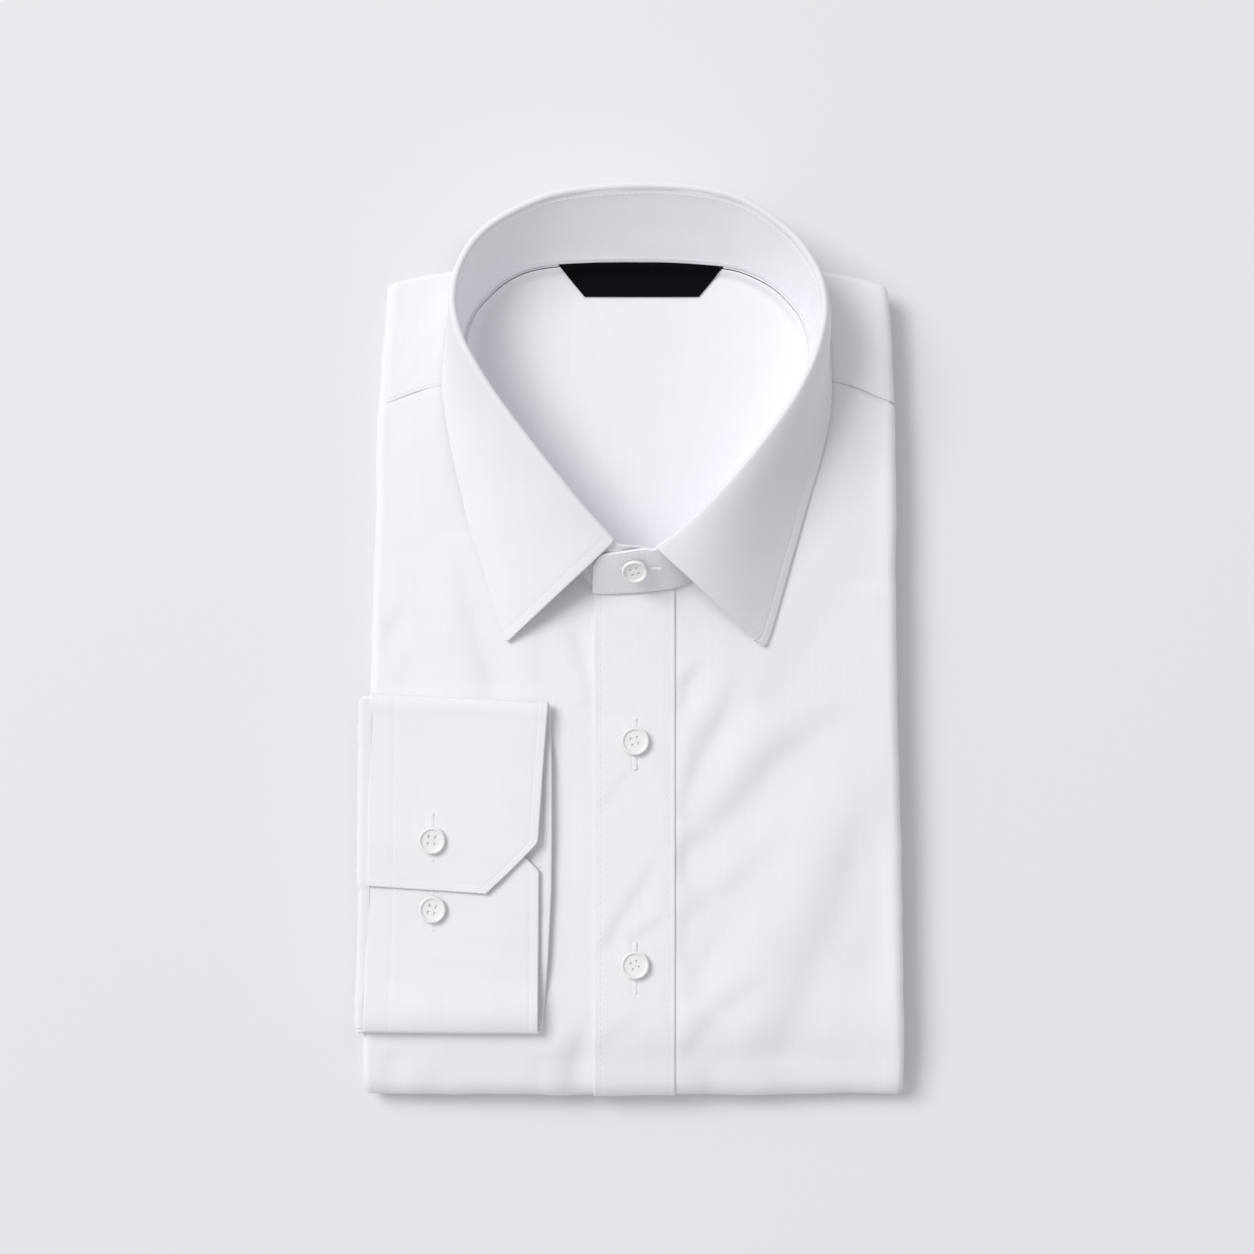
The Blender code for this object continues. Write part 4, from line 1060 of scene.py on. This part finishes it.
def make_sleeve_layer(name, depth, low):
    """A thin fold inside the sleeve, its edge just past the sleeve's lower end."""
    bend = np.radians(np.linspace(92, 180, 12))
    reach = SLEEVE_BEND + SLEEVE_HALF - depth
    lines = []
    for y in np.linspace(low, low + SLEEVE_LAYER_LENGTH, 12):
        side, top, _ = sleeve_bend(y)
        x = side + reach * join(pressed(np.cos(bend)), np.full(6, -1.0))
        z = top + join(reach * pressed(np.sin(bend)), -np.linspace(1, 5.5, 6))
        uneven = 0.25 * waves(x * 2, z * 2, 181 + int(depth * 10), 9.0)
        lines.append(stack(x, y + uneven, z))
    return wall(name, np.array(lines), SLEEVE_LAYER_SHELL, POPLIN, 2)


# The hidden layers, where their edges show

SHOULDER_Y = 112.0
STATION_STEP = 4.0
BACK_FIRST_Y = 143.0
BACK_GAP = 0.02
INNER_HALF = 0.16
INNER_SHELL = 0.1


def outline_stations(low_right, low_left):
    """Places round the body from the right side over the shoulders to the left side.

    Each gives x and y and the way out of the body.
    """
    right_y = np.linspace(low_right, SHOULDER_Y, int((SHOULDER_Y - low_right) / STATION_STEP))
    left_y = np.linspace(SHOULDER_Y, low_left, int((SHOULDER_Y - low_left) / STATION_STEP))
    at = np.linspace(YOKE_LAST, YOKE_FIRST, 110)
    edge = yoke_edge(at)
    places = [(body("right", y), y, 1.0, 0.0) for y in right_y]
    places += np.hstack([edge, unit(edge - seam_plan(table_at(NECK, at)))]).tolist()
    places += [(-body("left", y), y, -1.0, 0.0) for y in left_y]
    return np.array(places)


def make_back():
    """The back's fold past the hem: round the lower edge and in under the body."""
    places = outline_stations(111.0, 111.0)
    bend = np.radians(np.linspace(0, 180, 22))
    lines = []
    for x, y, out_x, out_y in places[places[:, 1] > BACK_FIRST_Y]:
        radius = (crown_z(x, y) / 2 - SLIT) / 2
        inset = LOWER_INSET + join([radius + 6], radius - radius * np.sin(bend))
        z = join([2 * radius], radius * (1 + np.cos(bend)), np.zeros(8))
        px = x - out_x * inset
        py = y - out_y * inset
        end = mix(py[-1], min(py[-1] - 2.0, BACK_END_Y), np.linspace(0.1, 1, 8))
        py = join(py, end)
        raised = 0.9 * (1 - smooth_step(HEM_Y - 0.5, HEM_Y + 4.0, py)) * (z < radius)
        lines.append(stack(join(px, np.full(8, px[-1])), py, z + raised + BACK_GAP))
    return wall("back_cloth", np.array(lines), SHELL, POPLIN)


def make_inner_fold(name, seed, rise, inset):
    """A thin folded layer whose rounded edge shows in the slit between the two halves."""
    bend = np.radians(np.linspace(90, -90, 7))
    across = join([14.0, 8.0], INNER_HALF * (1 - np.cos(bend)), [8.0, 14.0])
    high = INNER_HALF * join([1, 1], np.sin(bend), [-1, -1])
    lines = []
    for n, (x, y, out_x, out_y) in enumerate(outline_stations(-139.0, 10.0)):
        reach = across + inset + 0.9 * waves(n * 4.0, 0.0, seed, 60.0)
        middle = crown_z(x, y) / 2 + rise
        lines.append(stack(x - out_x * reach, y - out_y * reach, middle + high))
    return wall(name, np.array(lines), INNER_SHELL, POPLIN, 1)


# Buttons and thread

BUTTON_THREAD_RADIUS = 0.22
BAR_THREAD_RADIUS = 0.17
RIM_STEPS = 96
END_DRAWN_IN = 0.35


def circle(radius, count, middle=(0.0, 0.0)):
    """Places round a circle."""
    angle = 2 * math.pi * np.arange(count) / count
    return np.stack([radius * np.cos(angle), radius * np.sin(angle)], axis=1) + middle


def disc_mesh(radius, holes):
    """A flat disc with round holes: places, triangles and the hole loops."""
    rings = [circle(radius * share, count)
             for share, count in ((1, RIM_STEPS), (0.8, 56), (0.6, 40))]
    rings += [circle(HOLE_RADIUS, 18, hole) for hole in holes]
    places = []
    edges = []
    loops = []
    for ring in rings:
        loop = np.arange(len(ring)) + len(places)
        edges += zip(loop.tolist(), np.roll(loop, -1).tolist())
        places += [Vector(place) for place in ring]
        loops.append(loop)
    found = geometry.delaunay_2d_cdt(places, edges, [], 0, 1e-6)
    flat = np.array([(p.x, p.y) for p in found[0]])
    kept = []
    for triangle in found[2]:
        middle = flat[list(triangle)].mean(axis=0)
        if length(middle - holes).min() > HOLE_RADIUS * 0.97:
            kept.append(tuple(triangle))
    return flat, kept, loops[-len(holes):]


def make_button(name, width, place, tilt, turn):
    """A four-hole button with a broad rounded rim, a dished middle and crossed thread."""
    hollow = width / 2 - BUTTON_RIM
    holes = HOLE_SPACING * np.array([(1, 1), (-1, 1), (-1, -1), (1, -1)])
    flat, triangles, loops = disc_mesh(hollow, holes)
    dish = 0.72 * BUTTON_THICK - 0.16 * (1 - (length(flat) / hollow) ** 2)
    low = stack(flat[:, 0], flat[:, 1], 1.05)
    points = [stack(flat[:, 0], flat[:, 1], dish), low]
    count = len(flat)
    faces = [list(t) for t in triangles] + [[n + count for n in reversed(t)] for t in triangles]
    for hole, loop in zip(holes, loops):
        low[loop, :2] = mix(hole, low[loop, :2], 0.75)
        faces += [loop + count, *band(loop, loop + count, flip=True)]
    previous = loop_of_rim = np.arange(RIM_STEPS)
    for out, high in BUTTON_PROFILE:
        here = loop_of_rim + sum(len(p) for p in points)
        x, y = circle(hollow + out, RIM_STEPS).T
        points.append(stack(x, y, high * BUTTON_THICK))
        faces += [*band(previous, here)]
        previous = here
    faces += [*band(previous, loop_of_rim + count)]
    lean = Matrix.Rotation(math.radians(tilt), 3, "X") @ Matrix.Rotation(math.radians(turn), 3, "Z")
    move = np.array(lean).T
    shell = new_mesh(name + "_shell", join(*points) @ move + place, faces, SHELL_PEARL, sharp=60)
    share = np.linspace(0, 1, 25)[:, None]
    sag = 0.9 * smooth_step(0.62, 0.84, np.abs(2 * share - 1))
    strands = []
    for n in range(2):
        strand = np.hstack([mix(holes[n], holes[n + 2], share), 0.625 * BUTTON_THICK - sag + 0.06 * n])
        strands.append(strand @ move + place)
    return shell, tubes(name + "_thread", strands, BUTTON_THREAD_RADIUS, 10)


def tubes(name, lines, radius, sides):
    """Many thin threads as one piece, their ends drawn in."""
    turn = 2 * math.pi * np.arange(sides) / sides
    across = np.cos(turn)[:, None]
    over = np.sin(turn)[:, None]
    points = []
    faces = []
    start = 0
    for line in lines:
        run = unit(np.gradient(line, axis=0))
        helper = np.where(np.abs(run[:, 2:]) > 0.9, (1.0, 0, 0), (0, 0, 1.0))
        side = unit(np.cross(run, helper))
        top = np.cross(side, run)
        width = np.full((len(line), 1, 1), float(radius))
        width[[0, -1]] *= END_DRAWN_IN
        around = (side[:, None] * across + top[:, None] * over) * width
        points.append((line[:, None] + around).reshape(-1, 3))
        rings = start + np.arange(len(line) * sides).reshape(-1, sides)
        for first, last in zip(rings, rings[1:]):
            faces += [*band(first, last, flip=True)]
        faces += [rings[0][::-1], rings[-1]]
        start += rings.size
    return new_mesh(name, join(*points), faces, THREAD_LOOK)


# Stitching

STITCH_SIDES = 5
STITCH_WOBBLE = 0.06
STITCH_HEIGHTS = np.array([-0.10, 0.05, 0.05, -0.10])


def on_grid(grid, i, j):
    """The place at fractional row i and column j of a grid."""
    i = np.clip(i, 0, grid.shape[0] - 1.001)
    j = np.clip(j, 0, grid.shape[1] - 1.001)
    i0 = i.astype(int)
    j0 = j.astype(int)
    s = (i - i0)[:, None]
    t = (j - j0)[:, None]
    low = grid[i0, j0] * (1 - t) + grid[i0, j0 + 1] * t
    high = grid[i0 + 1, j0] * (1 - t) + grid[i0 + 1, j0 + 1] * t
    return low * (1 - s) + high * s


def reach_at(values, wanted):
    """Where a list of rising values reaches the wanted one, as a fractional number."""
    return float(np.interp(wanted, values, np.arange(len(values))))


def sew(grid, i, j, seed, side=1, depth=0.0):
    """Short threads along a line of a grid, each dipping into the cloth at both ends.

    The side is -1 where the seam shows on the grid's back, at the given depth.
    """
    up = unit(on_grid(grid_normals(grid), i, j))
    line = on_grid(grid, i, j) + up * depth
    run = distances(line)
    lift = STITCH_HEIGHTS[:, None]
    turn = np.random.default_rng(seed)
    made = []
    for n in range(max(int((run[-1] - STITCH_LENGTH) / STITCH_PITCH), 0) + 1):
        first = n * STITCH_PITCH + turn.uniform(-STITCH_WOBBLE, STITCH_WOBBLE)
        at = first + np.linspace(0, STITCH_LENGTH, 4) * turn.uniform(0.96, 1.02)
        if at[0] >= 0 and at[-1] <= run[-1]:
            made.append(read_line(at, run, line) + unit(read_line(at, run, up * side)) * lift)
    return made


def stitches(name, made):
    """The stitches of one piece of cloth as a piece."""
    return tubes(name, made, THREAD / 2, STITCH_SIDES)


def buttonhole(place, along, up, size, seed, width=1.8):
    """Satin stitch across the whole width of a buttonhole, with a bar at each end."""
    turn = np.random.default_rng(seed)
    across = unit(np.cross(up, along))
    made = []

    def thread(profile, far):
        """One thread across: its places across, their heights, and its places along."""
        made.append(np.array([across * x + along * y + up * h
                              for (x, h), y in zip(profile, far)]) + place)

    count = int(size / 0.25)
    for n in range(count + 1):
        middle = -size / 2 + n * size / count
        wide = width / 2 * turn.uniform(0.96, 1.03)
        profile = ((-wide, -0.14), (-wide + 0.2, -0.02), (-wide * 0.5, 0.06), (-0.08, 0.0),
                   (0.08, 0.0), (wide * 0.5, 0.06), (wide - 0.2, -0.02), (wide, -0.14))
        thread(profile, [middle + turn.uniform(-0.03, 0.03) for _ in profile])
    profile = ((-width / 2, -0.08), (-width / 3, 0.12), (0, 0.16), (width / 3, 0.12),
               (width / 2, -0.08))
    for end in (-1, 1):
        for n in range(4):
            thread(profile, [end * (size / 2 + 0.1 + 0.22 * n)] * len(profile))
    return made


def offset_line(line, depth):
    """A line moved sideways by a depth, its corners kept; positive moves to its left."""
    line = np.asarray(line, dtype=float)
    run = unit(np.diff(line, axis=0))
    left = np.stack([-run[:, 1], run[:, 0]], axis=1)
    made = [line[0] + left[0] * depth]
    for n in range(1, len(line) - 1):
        both = left[n - 1] + left[n]
        made.append(line[n] + both * depth / (1 + left[n - 1] @ left[n]))
    made.append(line[-1] + left[-1] * depth)
    return np.array(made)


def dense_line(line, step):
    """More places along a line, about a step apart."""
    run = distances(line)
    return read_line(np.linspace(0, run[-1], max(int(run[-1] / step), 2)), run, line)


def placket_thread(grid):
    """Both seams of the placket."""
    made = []
    for x in (PLACKET_LEFT + PLACKET_STITCH, PLACKET_RIGHT - PLACKET_STITCH):
        j = np.array([reach_at(line[:, 0], x) for line in grid])
        made += sew(grid, np.arange(len(grid)), j, int(x) + 40)
    return stitches("placket_stitches", made)


def yoke_thread(grid):
    """The seams where the yoke is sewn down on the fronts."""
    made = []
    for ordered, side, seed in ((grid, 1, 7), (grid[::-1], -1, 6)):
        far = length(ordered - ordered[:1])
        i = np.array([reach_at(far[:20, j], YOKE_STITCH) for j in range(44)])
        made += sew(ordered, i, np.arange(44), seed, side)
    return stitches("yoke_stitches", made)


def leaf_thread(grid):
    """The leaf's seam, inside its front edges and its free edge."""
    rows, across = grid.shape[:2]
    down = length(grid - grid[:, -1:])[:, ::-1]
    from_low = [across - 1 - reach_at(column[:14], LEAF_STITCH) for column in down]
    up_columns = np.linspace(14, from_low[8], 90)

    def end_rows(field):
        """How many rows in the seam lies beside a front edge."""
        whole = [reach_at(field[:26, j], LEAF_STITCH) for j in range(across)]
        return np.interp(up_columns, np.arange(across), whole)

    first = end_rows(length(grid - grid[:1]))
    last = rows - 1 - end_rows(length(grid - grid[-1:])[::-1])
    along = np.linspace(first[-1], last[-1], 700)[1:-1]
    low = np.interp(along, np.arange(rows), from_low)
    i = join(first, along, last[::-1])
    j = join(up_columns, low, up_columns[::-1])
    return stitches("leaf_stitches", sew(grid, i, j, 11))


def stand_thread(grid):
    """Seams of the stand: at both edges inside, and round its end outside."""
    far = [distances(line) for line in grid]

    def columns_at(rows, from_low=None, from_high=0.0):
        """The columns at a distance from the stand's lower or upper edge."""
        return np.array([reach_at(far[n], far[n][-1] - from_high if from_low is None else from_low)
                         for n in rows])

    inside = np.arange(14, len(grid) - 30)
    made = sew(grid, inside, columns_at(inside, from_high=STAND_HIGH_STITCH), 21)
    made += sew(grid, inside, columns_at(inside, STAND_LOW_STITCH), 22)
    end = np.arange(len(grid) - 60, len(grid) - 4)
    lower = columns_at(end, STAND_END_STITCH)
    higher = columns_at(end, from_high=STAND_END_STITCH)
    i = join(end, np.full(10, end[-1]), end[::-1])
    j = join(lower, np.linspace(lower[-1], higher[-1], 12)[1:-1], higher[::-1])
    made += sew(grid, i, j, 23, -1, -COLLAR_SHELL)
    return stitches("stand_stitches", made)


def cuff_thread(grid):
    """The cuff's seams: round its border and beside the sleeve."""
    at, run = cuff_lines()[:2]
    left = CUFF_SEAM_INSET - 110.0
    border = [(0.0, left), *zip(run, CUFF["right"]), (run[-1], left)]
    beside = np.stack([at, grid[:, 0, 0] + CUFF_SIDE_STITCH], axis=1)[4:-4]
    made = []
    for places, seed in ((dense_line(offset_line(border, CUFF_STITCH), 0.8), 31), (beside, 32)):
        i = np.interp(places[:, 0], at, np.arange(len(at)))
        j = [reach_at(grid[int(round(row))][:, 0], x) for row, x in zip(i, places[:, 1])]
        made += sew(grid, i, np.array(j), seed, -1)
    return stitches("cuff_stitches", made)


def buttonholes():
    """The buttonholes that show: their names, their nodes and their threads."""
    level = np.array([0.0, 0.0, 1.0])
    ahead = np.array([0.0, 1.0, 0.0])
    # Name, node, x and y, height over the front, length and seed
    upright = [("front_buttonhole_%d" % n, "placket", 0.0, y, PLACKET_RISE, 19.0, 60 + n)
               for n, y in enumerate(BUTTONHOLE_Y, 1)]
    upright += [("cuff_buttonhole_1", "cuff", CUFF_BUTTON_X, -61.9, 6.0, 18.0, 63),
                ("cuff_buttonhole_2", "cuff", CUFF_BUTTON_X, -91.6, 4.0, 15.8, 65)]
    made = []
    for name, node, x, y, rise, size, seed in upright:
        place = np.array([x, y, crown_z(x, y) + rise])
        made.append((name, node, buttonhole(place, ahead, level, size, seed)))
    lean = math.radians(COLLAR_BUTTON_TILT)
    up = np.array([0.0, -math.sin(lean), math.cos(lean)])
    place = np.array([*COLLAR_BUTTON_PLACE, COLLAR_BUTTON_Z]) + (2.4, 0, 0) - up * 0.25
    lines = buttonhole(place, np.array([1.0, 0.0, 0.0]), up, 15.0, 64, 1.5)
    return made + [("collar_buttonhole", "collar_stand", lines)]


def hem_thread(grid, name, side):
    """The seam of a front's hem, beneath."""
    far = np.abs(grid[:, 5, 1] - (HEM_Y - 6.0))
    row = np.where(grid[:, 5, 2] < 4.0, far, 1e9).argmin()
    j = np.arange(3, 60)
    return stitches(name, sew(grid, np.full(len(j), row), j, 51, side))


# The studio: floor, lights and camera

FLOOR_SIZE = 4000.0
FLOOR_DEPTH = 0.4
KEY_PLACE = (-4.2, 3.0, 5.8)
KEY_SIZE = 3.6
KEY_POWER = 386
SURROUND = (0.97, 0.97, 1.0, 1.0)
SURROUND_STRENGTH = 0.55


def make_floor():
    """A pale seamless floor under the shirt."""
    look = plain("floor_white", (0.80, 0.794, 0.814), 0.9, 0.1)
    corners = FLOOR_SIZE * np.array([(-1, -1), (1, -1), (1, 1), (-1, 1)])
    new_mesh("floor", [(x, y, -FLOOR_DEPTH) for x, y in corners], [range(4)], look)


def area_light(name, place, target, size, power):
    """A square soft light that faces the target."""
    data = bpy.data.lights.new(name, "AREA")
    data.size = size
    data.energy = power
    lamp = add_object(name, data)
    lamp.location = place
    lamp.rotation_mode = "QUATERNION"
    lamp.rotation_quaternion = (Vector(target) - Vector(place)).to_track_quat("-Z", "Y")


def make_light():
    """A large soft light from the upper left, and an even pale surround."""
    area_light("key", KEY_PLACE, (0, 0, 0), KEY_SIZE, KEY_POWER)
    world = bpy.data.worlds.new("studio")
    bpy.context.scene.world = world
    world.use_nodes = True
    set_inputs(world.node_tree.nodes["Background"],
               {"Color": SURROUND, "Strength": SURROUND_STRENGTH})


def make_camera():
    """The camera, straight above, with the photograph's frame."""
    data = bpy.data.cameras.new("camera")
    data.sensor_width = 36.0
    data.lens = 36.0 * (CAMERA_HEIGHT - FRONT_HEIGHT) / (PHOTO_WIDTH_PX * PHOTO_SCALE)
    data.clip_start = 0.05
    data.clip_end = 20.0
    camera = add_object("camera", data)
    camera.location = Vector((*CAMERA_PLACE, CAMERA_HEIGHT)) * MM
    bpy.context.scene.camera = camera
    bpy.context.scene.view_settings.view_transform = "Standard"


# Put together

def rides(slot_name, node, *made):
    """Fasten pieces to the shirt and stand them for their node. The finish's name is not used."""
    for piece in made:
        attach(piece, "root")
        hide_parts(node)


def make_buttons():
    """Every button with its thread, each pair standing for its own node."""
    buttons = []
    for n, y in enumerate(FRONT_BUTTON_Y, 1):
        place = (0.0, y, crown_z(0.0, y) + PLACKET_RISE + GAP)
        buttons.append(("front_button_%d" % n, FRONT_BUTTON, place, 0.0, 4.0 + 9 * n))
    for n, (y, rise) in enumerate(zip(CUFF_BUTTON_Y, CUFF_BUTTON_RISE), 1):
        place = (CUFF_BUTTON_X, y, crown_z(CUFF_BUTTON_X, y) + rise + GAP)
        buttons.append(("cuff_button_%d" % n, CUFF_BUTTON, place, 0.0, 3.0 - 8 * n))
    place = (*COLLAR_BUTTON_PLACE, COLLAR_BUTTON_Z)
    buttons.append(("collar_button", COLLAR_BUTTON, place, COLLAR_BUTTON_TILT, 20.0))
    for name, width, place, tilt, turn in buttons:
        shell, thread = make_button(name, width, place, tilt, turn)
        rides("pearl", name, shell)
        rides("cotton", name, thread)


def make_shirt():
    """Every piece of the shirt, fastened, with its flat cut listed in a table."""
    front_right, right_grid = make_front("front_right_cloth", -1, np.arange(5, -1, -1), 0.30)
    front_left, left_grid = make_front("front_left_cloth", 1, np.arange(25, 31), 0.75)
    placket, placket_grid = make_placket()
    yoke, yoke_grid = make_yoke()
    facing, facing_grid = make_yoke_facing()
    stand, stand_grid = make_stand()
    leaf, leaf_grid = make_leaf()
    label = make_label(facing_grid)
    cuff, cuff_grid = make_cuff()
    sleeve = make_sleeve()
    sleeve_layers = [make_sleeve_layer("sleeve_layer_1", 0.9, -142.1),
                     make_sleeve_layer("sleeve_layer_2", 1.9, -142.9)]
    back = make_back()
    upper = make_inner_fold("inner_layer_upper", 161, 0.19, 1.6)
    lower = make_inner_fold("inner_layer_lower", 163, -0.19, 2.6)
    make_buttons()
    fronts = ["front_right_cloth", "front_left_cloth"]
    under_fronts = ["inner_layer_upper", "back_cloth"]
    seams = {"placket": [placket_thread(placket_grid)],
             "yoke": [yoke_thread(yoke_grid)],
             "collar_leaf": [leaf_thread(leaf_grid)],
             "collar_stand": [stand_thread(stand_grid)],
             "cuff": [cuff_thread(cuff_grid)],
             "front_right": [hem_thread(right_grid, "hem_stitches_right", -1)],
             "front_left": [hem_thread(left_grid, "hem_stitches_left", 1)]}
    # Each cloth: finish, node, flat size, how it is held, what it rests on and area
    sheets = [
        (front_right, "cotton", "front_right", (130, 655), "folded", under_fronts, 74300),
        (front_left, "cotton", "front_left", (130, 655), "folded", under_fronts, 74300),
        (placket, "cotton", "placket", (32.6, 541), "folded", ["front_left_cloth"], 17600),
        (yoke, "cotton", "yoke", (240, 76), "folded", fronts, 8200),
        (facing, "cotton", "yoke_facing", (150, 145), "laid", ["inner_layer_upper"], 15400),
        (stand, "stiff_cotton", "collar_stand", (37, 480), "laid",
         ["yoke_cloth", "placket_cloth"], 15000),
        (leaf, "stiff_cotton", "collar_leaf", (68, 498), "folded", ["collar_stand_cloth"], 20300),
        (label, "black_satin", "neck_label", (69.6, 17.9), "laid", ["yoke_facing_cloth"], 870),
        (cuff, "stiff_cotton", "cuff", (75.2, 320), "folded",
         ["front_right_cloth", "sleeve_right_cloth"], 22100),
        (sleeve, "cotton", "sleeve_right", (280, 25), "folded", ["front_right_cloth"], 7000)]
    sheets += [(layer, "cotton", "sleeve_right", (12, 12), "folded", ["sleeve_right_cloth"], 140)
               for layer in sleeve_layers]
    sheets += [
        (back, "cotton", "folded_layers", (242, 46), "folded", fronts, 9500),
        (upper, "cotton", "folded_layers", (662, 28.2), "folded", ["inner_layer_lower"], 16700),
        (lower, "cotton", "folded_layers", (662, 28.2), "folded", ["back_cloth"], 16700)]
    for piece, slot_name, node, *_ in sheets:
        rides(slot_name, node, piece, *seams.get(node, []))
    for name, node, lines in buttonholes():
        bar = tubes(name, lines, BAR_THREAD_RADIUS, STITCH_SIDES)
        rides("cotton", node, bar)
        seams[node].append(bar)


def main():
    make_shirt()
    make_floor()
    make_light()
    make_camera()


main()
